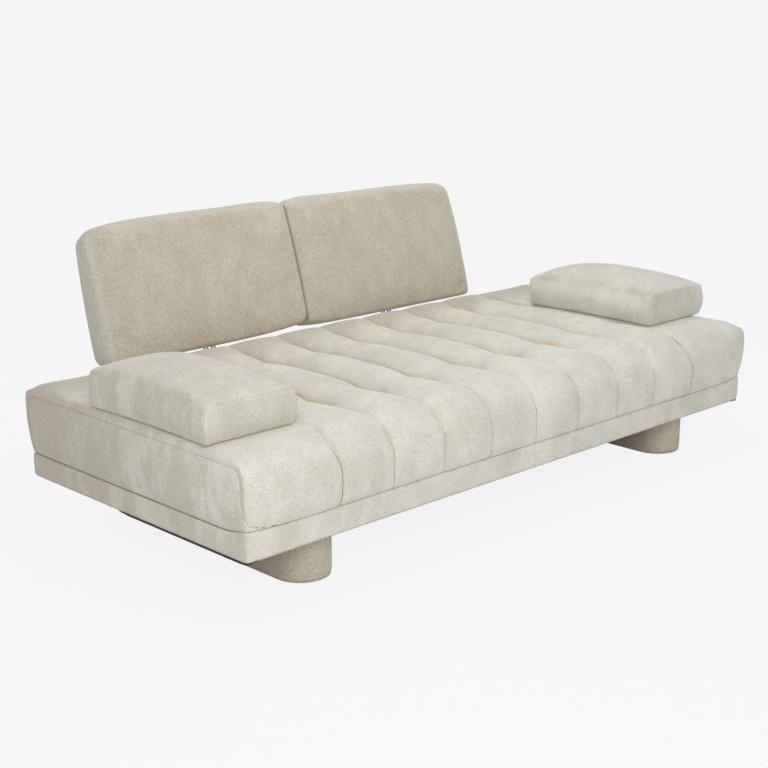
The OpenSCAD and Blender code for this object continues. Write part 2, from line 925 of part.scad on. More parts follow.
module arm_cushion(side, shift) {
    inner = [for (s = [-0.66, -0.33, 0, 0.33, 0.66]) s * arm_l / 2];
    color(fabric_color)
        at_base()
            translate([side * (base_l / 2 - arm_inset - arm_w / 2), -shift, arm_z])
                rotate([0, 0, 90])
                    ring_skin([
                        for (s = stations(arm_l / 2, arm_edge_r, inner))
                            arm_ring(s[0], s[1])
                    ]);
}

module arm_cushion_left() {
    arm_cushion(left, arm_shift_left);
}

module arm_cushion_right() {
    arm_cushion(right, arm_shift_right);
}

front_rail();
rear_rail();
left_rail();
right_rail();
cross_rails();
foot_rail_left();
foot_rail_right();
corner_blocks();
deck_board();
dust_cover();
band_cover();
seat_pad();
foot_core_left();
foot_core_right();
foot_cover_left();
foot_cover_right();
foot_glides();
foot_bolts();
socket_left();
socket_right();
socket_bolts();
posts_left();
posts_right();
crosshead_left();
crosshead_right();
hinge_pin_left();
hinge_pin_right();
saddle_left();
saddle_right();
saddle_bolts_left();
saddle_bolts_right();
friction_washers_left();
friction_washers_right();
back_board_left();
back_board_right();
back_pad_left();
back_pad_right();
arm_cushion_left();
arm_cushion_right();
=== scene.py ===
"""Looks of the three-seater sofa: padding, fabric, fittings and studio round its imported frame."""

import logging
import math
from dataclasses import dataclass
from enum import Enum

import bmesh
import bpy
import numpy as np
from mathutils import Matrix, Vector
from mathutils.bvhtree import BVHTree
from mathutils.kdtree import KDTree


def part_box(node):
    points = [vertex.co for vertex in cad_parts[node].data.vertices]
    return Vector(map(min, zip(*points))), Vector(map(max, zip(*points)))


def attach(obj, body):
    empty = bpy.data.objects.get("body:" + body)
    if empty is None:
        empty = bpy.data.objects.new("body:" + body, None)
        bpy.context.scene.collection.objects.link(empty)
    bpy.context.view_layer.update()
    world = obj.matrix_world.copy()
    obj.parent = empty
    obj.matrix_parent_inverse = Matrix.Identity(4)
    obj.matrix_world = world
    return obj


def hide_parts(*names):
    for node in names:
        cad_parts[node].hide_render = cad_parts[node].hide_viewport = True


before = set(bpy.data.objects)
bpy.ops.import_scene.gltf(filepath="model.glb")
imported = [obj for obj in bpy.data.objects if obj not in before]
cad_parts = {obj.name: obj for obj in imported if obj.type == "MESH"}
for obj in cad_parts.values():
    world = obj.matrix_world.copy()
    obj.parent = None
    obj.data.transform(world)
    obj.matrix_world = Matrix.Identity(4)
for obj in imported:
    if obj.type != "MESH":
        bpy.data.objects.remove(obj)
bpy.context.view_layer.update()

LOG = logging.getLogger("sofa")

Triple = tuple[float, float, float]
Colour = Triple
Ray = tuple[Vector, Vector]

HALF_L, HALF_D = 1.100, 0.494
CREASE_Z = 0.223
CREASE_DROP, END_DROP, CORNER_RISE = 0.0025, 0.0095, 0.003
WHITE = (1.0, 1.0, 1.0, 1.0)


def tint(code: str) -> Colour:
    """Turns six hexadecimal digits into the linear colour that shaders take."""
    parts = [int(code[i:i + 2], 16) / 255 for i in (0, 2, 4)]
    return tuple(p / 12.92 if p <= 0.04045 else ((p + 0.055) / 1.055) ** 2.4 for p in parts)


class Side(Enum):
    """The two halves of the sofa, seen from the front."""

    LEFT = -1
    RIGHT = 1

    @property
    def word(self) -> str:
        """The half's name in node and body names."""
        return self.name.lower()


class Wire:
    """A shader value that takes part in plain arithmetic."""

    def __init__(self, bench: "Bench", socket: bpy.types.NodeSocket) -> None:
        """Wraps a socket of the node tree that the bench builds."""
        self.bench = bench
        self.socket = socket

    def other(self, out: int | str) -> "Wire":
        """Another output of the same node."""
        return Wire(self.bench, self.socket.node.outputs[out])

    def maths(self, operation: str, *values: "Wire | float") -> "Wire":
        """Result of a Math node with these inputs, in order."""
        return self.bench.add("ShaderNodeMath", {"operation": operation}, dict(enumerate(values)))

    def __add__(self, other: "Wire | float") -> "Wire":
        """Sum of two values."""
        return self.maths("ADD", self, other)

    def __sub__(self, other: "Wire | float") -> "Wire":
        """Difference of two values."""
        return self.maths("SUBTRACT", self, other)

    def __rsub__(self, other: float) -> "Wire":
        """Difference of a number and this value."""
        return self.maths("SUBTRACT", other, self)

    def __mul__(self, other: "Wire | float") -> "Wire":
        """Product of two values."""
        return self.maths("MULTIPLY", self, other)

    def __abs__(self) -> "Wire":
        """Size of the value without its sign."""
        return self.maths("ABSOLUTE", self)

    __radd__ = __add__
    __rmul__ = __mul__

    def most(self, other: "Wire | float") -> "Wire":
        """The larger of two values."""
        return self.maths("MAXIMUM", self, other)

    def rise(self, low: float, high: float) -> "Wire":
        """A smooth step that leaves 0 at the low value and reaches 1 at the high one."""
        spans = {"Value": self, "From Min": low, "From Max": high, "To Min": 0.0, "To Max": 1.0}
        return self.bench.add("ShaderNodeMapRange", {"interpolation_type": "SMOOTHSTEP"}, spans)


class Bench:
    """Builds the node tree of one material or world."""

    def __init__(self, name: str, world: bool = False) -> None:
        """Starts a material, or a world, with nothing but its output.

        Args:
            name: Its name.
            world: True for a world, False for a material.
        """
        store, kind = (bpy.data.worlds, "World") if world else (bpy.data.materials, "Material")
        self.owner = store.new(name)
        self.owner.use_nodes = True
        self.tree = self.owner.node_tree
        self.tree.nodes.clear()
        self.output = self.tree.nodes.new("ShaderNodeOutput" + kind)

    def close(self, shader: Wire) -> "bpy.types.Material | bpy.types.World":
        """Feeds the output from a shader and hands on what was built."""
        self.tree.links.new(shader.socket, self.output.inputs["Surface"])
        return self.owner

    def add(self, kind: str, settings: dict, inputs: dict, out: int | str = 0) -> Wire:
        """Adds one node.

        Args:
            kind: The node's type.
            settings: Properties that are set before its sockets.
            inputs: Values or wires by socket name or number.
            out: The output that is handed on.

        Returns:
            That output.
        """
        node = self.tree.nodes.new(kind)
        for key, value in settings.items():
            setattr(node, key, value)
        for key, value in inputs.items():
            if isinstance(value, Wire):
                self.tree.links.new(value.socket, node.inputs[key])
            else:
                node.inputs[key].default_value = value
        return Wire(self, node.outputs[out])

    def place(self, out: str = "Object") -> Wire:
        """Object coordinates, or another output of the coordinates."""
        return self.add("ShaderNodeTexCoord", {}, {}, out)

    def first(self, vector: Wire) -> Wire:
        """The first of a vector's three values."""
        return self.add("ShaderNodeSeparateXYZ", {}, {0: vector})

    def stretch(self, vector: Wire, scale: Triple) -> Wire:
        """Scales a vector by its three axes."""
        return self.add("ShaderNodeVectorMath", {"operation": "MULTIPLY"}, {0: vector, 1: scale})

    def noise(self, vector: Wire, scale: float, detail: float = 2.0, rough: float = 0.5) -> Wire:
        """Noise from 0 to 1 at a scale, with the given detail and roughness."""
        values = {"Vector": vector, "Scale": scale, "Detail": detail, "Roughness": rough}
        return self.add("ShaderNodeTexNoise", {"noise_dimensions": "3D"}, values)

    def blend(self, share: Wire, first: "Wire | Colour", second: "Wire | Colour") -> Wire:
        """Mixes two colours.

        Args:
            share: How much of the second, from 0 to 1.
            first: The colour at 0.
            second: The colour at 1.

        Returns:
            The mixed colour.
        """
        ends = [e if isinstance(e, Wire) else (*e, 1.0) for e in (first, second)]
        settings = {"data_type": "RGBA", "blend_type": "MIX", "clamp_factor": True}
        return self.add("ShaderNodeMix", settings, {0: share, 6: ends[0], 7: ends[1]}, 2)

    def shade(self, colour: Wire, amount: Wire) -> Wire:
        """Multiplies a colour by a value."""
        grey = self.add("ShaderNodeCombineXYZ", {}, {0: amount, 1: amount, 2: amount})
        return self.add("ShaderNodeVectorMath", {"operation": "MULTIPLY"}, {0: colour, 1: grey})

    def dress(self, inputs: dict) -> bpy.types.Material:
        """Closes the material with a Principled shader of these inputs."""
        return self.close(self.add("ShaderNodeBsdfPrincipled", {}, inputs))

    def bump(self, strength: float, distance: float, height: Wire) -> Wire:
        """Normals of a fine relief."""
        inputs = {"Strength": strength, "Distance": distance, "Height": height}
        return self.add("ShaderNodeBump", {}, inputs)


@dataclass(frozen=True)
class Chenille:
    """Soft pile fabric with fine slubs and patches where the pile lies another way.

    The slubs run along the sofa on its tops and fronts, or upright where stated, and upright on
    its ends. A point attribute of each cover holds painted shade and light: above 0 it turns a
    place darker and warmer, below 0 paler.
    """

    name: str
    light: Colour
    deep: Colour
    warm: Colour
    pale: Colour
    upright: bool = False
    slub: float = 0.5
    length: float = 0.55
    patches: float = 1.0
    bump: float = 0.5
    relief: float = 0.0016
    grain_scale: float = 310.0
    end_scale: float = 280.0
    pile_scale: float = 520.0
    patch_scale: float = 16.0
    cloud_scale: float = 5.5
    warm_scale: float = 9.0
    streak_scale: float = 13.0

    def material(self) -> bpy.types.Material:
        """Builds the fabric.

        Returns:
            Its material.
        """
        b = Bench(self.name)
        place = b.place()
        on_end = abs(b.first(b.place("Normal"))).rise(0.55, 0.8)
        run = (1.0, 1.0, self.length) if self.upright else (self.length, 1.0, 1.0)

        def drawn(stretch: Triple, scale: float, detail: float, rough: float) -> Wire:
            """Noise that is drawn out along an axis."""
            return b.noise(b.stretch(place, stretch), scale, detail, rough)

        front = drawn(run, self.grain_scale, 3.0, 0.65)
        ends = drawn((1.0, 1.0, 0.4), self.end_scale, 3.0, 0.65)
        slub = front * (1.0 - on_end) + ends * on_end
        pile = b.noise(place, self.pile_scale, 2.0, 0.8)
        patch = drawn((1.0, 1.0, 0.6), self.patch_scale, 4.0, 0.6)
        cloud = drawn((1.0, 1.0, 0.35), self.cloud_scale, 3.0, 0.55)
        lay = patch * (0.62 - 0.3 * on_end) + cloud * (0.38 + 0.3 * on_end)
        lay = lay.rise(0.34, 0.66)
        warmth = drawn((1.0, 1.0, 0.7), self.warm_scale, 3.0, 0.55).rise(0.48, 0.7)
        streak = drawn((1.0, 1.0, 0.35), self.streak_scale, 4.0, 0.65).rise(0.4, 0.62) * on_end
        # Painted shade and light from the point attribute: above 0 it mixes towards the warm
        # colour, along with the fabric's own warmth and end streaks; below 0 it mixes towards the
        # pale colour as painted light.
        turn = b.add("ShaderNodeAttribute", {"attribute_name": "painted_shading"}, {}, "Fac")
        tone = b.blend((lay - 0.5) * self.patches + 0.5 - 0.5 * streak, self.deep, self.light)
        warm = warmth * (0.3 * self.patches) + streak * 0.45 + turn
        tone = b.blend(warm.most(0.0), tone, self.warm)
        tone = b.blend((0.0 - turn).most(0.0), tone, self.pale)
        grain = 1.0 + (slub - 0.5) * self.slub + (pile - 0.5) * (self.slub * 0.8)
        return b.dress({
            "Base Color": b.shade(tone, grain),
            "Roughness": 0.95 - 0.12 * lay,
            "Specular IOR Level": 0.2,
            "Sheen Weight": 0.3,
            "Sheen Roughness": 0.5,
            "Sheen Tint": (1.0, 0.99, 0.96, 1.0),
            "Normal": b.bump(self.bump, self.relief, slub * 0.8 + pile * 0.5),
        })


@dataclass(frozen=True)
class SeamThread:
    """The thin line of shade and thread in a sewn seam."""

    name: str
    thread: Colour
    shade: Colour

    def material(self) -> bpy.types.Material:
        """Builds the seam's finish, with single stitches along it.

        Returns:
            Its material.
        """
        b = Bench(self.name)
        stitch = b.noise(b.place(), 260.0, 1.0).rise(0.42, 0.6)
        return b.dress({
            "Base Color": b.blend(stitch, self.shade, self.thread),
            "Roughness": 0.9 + stitch * 0.05,
            "Specular IOR Level": 0.1,
        })


@dataclass(frozen=True)
class Metal:
    """Plated or polished steel."""

    name: str
    colour: Colour
    roughness: float
    streak: float

    def material(self) -> bpy.types.Material:
        """Builds the metal with fine marks from drawing and handling.

        Returns:
            Its material.
        """
        b = Bench(self.name)
        place = b.place()
        drawn = b.noise(b.stretch(place, (1.0, 1.0, 0.05)), 900.0, 2.0)
        wear = b.noise(place, 40.0, 4.0, 0.6)
        tone = b.blend(wear.rise(0.35, 0.7), self.colour, tuple(c * 0.86 for c in self.colour))
        return b.dress({
            "Base Color": tone,
            "Metallic": 1.0,
            "Roughness": self.roughness + (drawn - 0.5) * self.streak + (wear - 0.5) * 0.06,
        })


@dataclass(frozen=True)
class Timber:
    """Sawn softwood or plywood."""

    name: str
    early: Colour
    late: Colour

    def material(self) -> bpy.types.Material:
        """Builds the timber with grain along the sofa.

        Returns:
            Its material.
        """
        b = Bench(self.name)
        place = b.place()
        ring = b.noise(b.stretch(place, (0.06, 1.0, 1.0)), 95.0, 4.0, 0.6)
        pore = b.noise(b.stretch(place, (0.02, 1.0, 1.0)), 700.0, 2.0)
        tone = b.blend(ring.rise(0.38, 0.62), self.early, self.late)
        return b.dress({
            "Base Color": b.shade(tone, 0.94 + pore * 0.12),
            "Roughness": 0.62 + ring * 0.2,
            "Normal": b.bump(0.2, 0.0006, ring + pore * 0.4),
        })


@dataclass(frozen=True)
class Moulded:
    """Dark plastic or thin woven cloth with a fine grain."""

    name: str
    colour: Colour
    grain: float
    roughness: float

    def material(self) -> bpy.types.Material:
        """Builds the dull surface.

        Returns:
            Its material.
        """
        b = Bench(self.name)
        speck = b.noise(b.place(), self.grain, 2.0, 0.6)
        return b.dress({
            "Base Color": b.blend(speck, self.colour, tuple(1.7 * c for c in self.colour)),
            "Roughness": self.roughness + (speck - 0.5) * 0.15,
            "Normal": b.bump(0.25, 0.0004, speck),
        })


class Finishes:
    """The materials of the sofa, each built once."""

    def __init__(self) -> None:
        """Builds every finish."""
        # The fourth colour of each chenille is the pale tint of its painted light.
        seat = map(tint, ("dfddd2", "cfccc1", "bfb7a7", "e4e3db"))
        back = map(tint, ("cbc5b6", "bfb8a8", "b8a98f", "cfccc2"))
        foot = map(tint, ("cec6b5", "c0b7a4", "bfb098", "d2cec2"))
        self.seat = Chenille("seat_chenille", *seat, slub=0.8, length=0.45, bump=0.35).material()
        self.back = Chenille("back_chenille", *back, upright=True, length=0.35, slub=1.15,
                             patches=0.9).material()
        self.foot = Chenille("foot_chenille", *foot, upright=True, length=0.5,
                             slub=1.5).material()
        self.seam = SeamThread("seam_thread", tint("a39a88"), tint("857b69")).material()
        self.pale_seam = SeamThread("pale_seam_thread", tint("cdc7b9"), tint("978d7b")).material()
        self.dark_seam = SeamThread("deep_seam_thread", tint("6f6655"), tint("574e40")).material()
        self.chrome = Metal("polished_chrome", tint("8f9295"), 0.1, 0.06).material()
        self.zinc = Metal("zinc_plated_steel", tint("b4b6b8"), 0.32, 0.2).material()
        self.timber = Timber("sawn_timber", tint("cfae7c"), tint("b98d58")).material()
        self.plastic = Moulded("black_plastic", tint("1f1e1d"), 1400.0, 0.6).material()
        self.cloth = Moulded("black_under_cloth", tint("262524"), 900.0, 0.9).material()


def points_of(mesh: bpy.types.Mesh, what: str = "co") -> np.ndarray:
    """Reads a mesh's points or their normals.

    Args:
        mesh: The mesh.
        what: "co" for the points or "normal" for their normals.

    Returns:
        One row of three numbers for each point.
    """
    flat = np.empty(len(mesh.vertices) * 3)
    mesh.vertices.foreach_get(what, flat)
    return flat.reshape(-1, 3)


def move_points(mesh: bpy.types.Mesh, points: np.ndarray) -> None:
    """Puts a mesh's points in new places, one row for each."""
    mesh.vertices.foreach_set("co", np.ascontiguousarray(points, dtype=float).ravel())
    mesh.update()


def paint_shading(piece: bpy.types.Object, painted_shading: np.ndarray) -> None:
    """Lays painted shade and light at each point of a cover, from -1, painted light, to 1, painted
    shade, dark and warm.
    """
    layer = piece.data.attributes.new("painted_shading", "FLOAT", "POINT")
    layer.data.foreach_set("value", np.clip(painted_shading, -1, 1).astype(np.float32))


def stand(name: str, bm: bmesh.types.BMesh, finish: bpy.types.Material) -> bpy.types.Object:
    """Makes a smooth-shaded piece from a bmesh.

    Args:
        name: The piece's name.
        bm: Its shape, which is used up.
        finish: Its material.

    Returns:
        The piece.
    """
    mesh = bpy.data.meshes.new(name)
    bm.normal_update()
    bm.to_mesh(mesh)
    bm.free()
    mesh.materials.append(finish)
    mesh.shade_smooth()
    piece = bpy.data.objects.new(name, mesh)
    bpy.context.scene.collection.objects.link(piece)
    return piece


def modify(piece: bpy.types.Object, kind: str, **settings: object) -> None:
    """Adds a modifier to a piece and applies it.

    Args:
        piece: The piece.
        kind: The modifier's type.
        settings: Its properties.
    """
    modifier = piece.modifiers.new(kind.lower(), kind)
    for key, value in settings.items():
        setattr(modifier, key, value)
    shaped = piece.evaluated_get(bpy.context.evaluated_depsgraph_get())
    mesh = bpy.data.meshes.new_from_object(shaped)
    old = piece.data
    piece.modifiers.clear()
    piece.data = mesh
    mesh.name = old.name
    bpy.data.meshes.remove(old)
    mesh.shade_smooth()


def thicken(piece: bpy.types.Object, wall: float, offset: float = -1.0) -> None:
    """Gives a sheet of faces a wall, inside it, or on both sides where the offset is 0."""
    modify(piece, "SOLIDIFY", thickness=wall, offset=offset)


def refine(piece: bpy.types.Object) -> None:
    """Subdivides a piece once."""
    modify(piece, "SUBSURF", levels=1, render_levels=1)


def round_edge(p: np.ndarray, i: int, j: int, a: float, b: float | np.ndarray,
               r: float | np.ndarray, way: int = 0) -> None:
    """Rounds a square long edge of a block of points in place.

    Args:
        p: The points.
        i: First axis across the edge.
        j: Second axis across the edge.
        a: Signed place of the edge on the first axis.
        b: Place of the edge on the second axis.
        r: Radius.
        way: Which way the edge faces on the second axis, or 0 for the sign of its place.
    """
    sa, sb = np.sign(a), way or np.sign(b)
    va = (p[:, i] - (a - sa * r)) * sa
    vb = (p[:, j] - (b - sb * r)) * sb
    near = (va > 0) & (vb > 0)
    shrink = np.where(near, np.maximum(va, vb) / np.maximum(np.hypot(va, vb), 1e-9), 1.0)
    p[:, i] = np.where(near, (a - sa * r) + sa * va * shrink, p[:, i])
    p[:, j] = np.where(near, (b - sb * r) + sb * vb * shrink, p[:, j])


def open_ends(bm: bmesh.types.BMesh) -> None:
    """Takes the level faces out of a block, which leaves its sides."""
    flat = [f for f in bm.faces if abs(f.normal.z) > 0.9]
    bmesh.ops.delete(bm, geom=flat, context="FACES")


def upright_edges(bm: bmesh.types.BMesh) -> list[bmesh.types.BMEdge]:
    """The edges of a block that stand upright."""
    return [e for e in bm.edges if abs(e.verts[0].co.z - e.verts[1].co.z) > 0.01]


def hand_over(cover: bpy.types.Object, others: tuple[bpy.types.Object, ...], body: str,
              node: str) -> None:
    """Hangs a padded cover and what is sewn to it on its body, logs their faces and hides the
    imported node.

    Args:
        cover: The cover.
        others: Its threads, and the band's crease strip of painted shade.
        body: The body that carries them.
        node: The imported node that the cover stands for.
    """
    for piece in (cover, *others):
        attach(piece, body)
        LOG.info("%s: %d faces", piece.name, len(piece.data.polygons))
    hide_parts(node)


@dataclass(frozen=True)
class Block:
    """A closed box of four-sided faces that the padded pieces start from."""

    low: Triple
    high: Triple
    cuts: tuple[int, int, int]

    def raise_mesh(self) -> bmesh.types.BMesh:
        """Builds the box.

        Returns:
            The box as a bmesh.
        """
        bm = bmesh.new()
        bmesh.ops.create_cube(bm, size=1.0)
        for axis, cuts in enumerate(self.cuts):
            if cuts == 1:
                continue
            edges = [e for e in bm.edges if abs((e.verts[0].co - e.verts[1].co)[axis]) > 0.5]
            bmesh.ops.subdivide_edges(bm, edges=edges, cuts=cuts - 1, use_grid_fill=True)
        size = [h - l for l, h in zip(self.low, self.high)]
        middle = [(h + l) / 2 for l, h in zip(self.low, self.high)]
        bmesh.ops.scale(bm, vec=size, verts=bm.verts)
        bmesh.ops.translate(bm, vec=middle, verts=bm.verts)
        bmesh.ops.recalc_face_normals(bm, faces=bm.faces)
        return bm


@dataclass(frozen=True)
class Filling:
    """Wadding that blows a cover out by cloth simulation."""

    reach: float
    slack: float
    pressure: float = 4.0
    stiffness: float = 12.0
    bending: float = 6.0
    mass: float = 0.2
    quality: int = 4
    frames: int = 20
    grips: int = 20

    def blow_up(self, piece: bpy.types.Object, held: np.ndarray) -> None:
        """Swells a piece between the points that are held.

        Args:
            piece: The piece.
            held: Hold of each point, from 0, free, to 1, fixed.
        """
        start = points_of(piece.data)
        grip = piece.vertex_groups.new(name="held")
        steps = np.round(held * self.grips).astype(int)
        for step in range(1, self.grips + 1):
            chosen = np.flatnonzero(steps == step)
            if len(chosen):
                grip.add(chosen.tolist(), step / self.grips, "REPLACE")
        cloth = piece.modifiers.new("filling", "CLOTH")
        cover = cloth.settings
        cover.quality = self.quality
        cover.mass = self.mass
        cover.tension_stiffness = cover.compression_stiffness = self.stiffness
        cover.shear_stiffness = cover.bending_stiffness = self.bending
        cover.use_pressure = True
        cover.uniform_pressure_force = self.pressure
        cover.shrink_min = -self.slack
        cover.effector_weights.gravity = 0
        cover.vertex_group_mass = grip.name
        cloth.collision_settings.use_collision = False
        cloth.point_cache.frame_start, cloth.point_cache.frame_end = 1, self.frames
        scene = bpy.context.scene
        for number in range(1, self.frames + 1):
            scene.frame_set(number)
        shaped = piece.evaluated_get(bpy.context.evaluated_depsgraph_get()).to_mesh()
        push = points_of(shaped) - start
        far = np.maximum(np.linalg.norm(push, axis=1, keepdims=True), 1e-9)
        piece.modifiers.remove(cloth)
        piece.vertex_groups.remove(grip)
        scene.frame_set(1)
        move_points(piece.data, start + push / far * self.reach * np.tanh(far / self.reach))


@dataclass(frozen=True)
class Seam:
    """A sewn line: a narrow furrow with a thread of shade at its bottom."""

    width: float
    depth: float
    furrow: float
    lift: float = 0.0003
    wall: float = 0.0006

    def landings(self, piece: bpy.types.Object, rays: list[Ray]) -> list[tuple[Vector, Vector]]:
        """Places and normals of a piece where rays meet it."""
        tree = BVHTree.FromObject(piece, bpy.context.evaluated_depsgraph_get())
        return [hit[:2] for hit in (tree.ray_cast(*ray) for ray in rays) if hit[0] is not None]

    def sink(self, piece: bpy.types.Object, lines: list[list[Ray]]) -> None:
        """Presses the furrows of all lines into a piece.

        Args:
            piece: The piece.
            lines: The rays of each line.
        """
        spots = [place for rays in lines for place, _ in self.landings(piece, rays)]
        tree = KDTree(len(spots))
        for number, spot in enumerate(spots):
            tree.insert(spot, number)
        tree.balance()
        points, normals = points_of(piece.data), points_of(piece.data, "normal")
        away = np.array([tree.find(Vector(p))[2] for p in points])
        points -= normals * (self.depth * smooth_bump(away, 0.0, self.furrow))[:, None]
        move_points(piece.data, points)

    def sew(self, name: str, piece: bpy.types.Object, lines: list[list[Ray]],
            finish: bpy.types.Material) -> bpy.types.Object:
        """Lays the threads of all lines on a piece.

        Args:
            name: Name of the new piece.
            piece: The piece that carries them.
            lines: The rays of each line.
            finish: The thread's finish.

        Returns:
            The threads as one piece.
        """
        bm = bmesh.new()
        for rays in lines:
            run = self.landings(piece, rays)
            if len(run) < 2:
                continue
            last = len(run) - 1
            grid = bmesh.ops.create_grid(bm, x_segments=last, y_segments=2, size=0.5)
            for vert in grid["verts"]:
                step, row = round((vert.co.x + 0.5) * last), round(vert.co.y * 2)
                place, normal = run[step]
                ahead, behind = run[min(step + 1, last)][0], run[max(step - 1, 0)][0]
                sideways = normal.cross(ahead - behind).normalized()
                height = self.lift * (1 - 2 * abs(row))
                vert.co = place + normal * height + sideways * (row * self.width / 2)
        threads = stand(name, bm, finish)
        thicken(threads, self.wall)
        return threads


def smooth_bump(x: np.ndarray, middle: float, spread: float) -> np.ndarray:
    """Height of a bell curve that reaches 1 in its middle."""
    return np.exp(-(((x - middle) / spread) ** 2))


def ease(x: np.ndarray, low: float, high: float) -> np.ndarray:
    """Smooth step that leaves 0 at the low place and reaches 1 at the high one."""
    t = np.clip((x - low) / (high - low), 0.0, 1.0)
    return t * t * (3 - 2 * t)


def crease_drop(p: np.ndarray) -> np.ndarray:
    """Measures how far the crease hangs, most along the two ends and least at the front corners.

    Args:
        p: Points about the middle of the base.

    Returns:
        Drop of the crease below the band's top edge.
    """
    x = np.abs(p[:, 0])
    corner = smooth_bump(np.hypot(x - HALF_L, p[:, 1] + HALF_D), 0.0, 0.050)
    drop = CREASE_DROP + END_DROP * ease(x, HALF_L - 0.04, HALF_L - 0.01)
    return drop * (1 - corner) - CORNER_RISE * corner


def end_painted_shade(p: np.ndarray) -> np.ndarray:
    """Painted shade on the end faces, darker towards the rear."""
    dark = 0.1 + 0.6 * ease(p[:, 1], -0.35, 0.45)
    return dark * ease(np.abs(p[:, 0]), HALF_L - 0.015, HALF_L - 0.001)


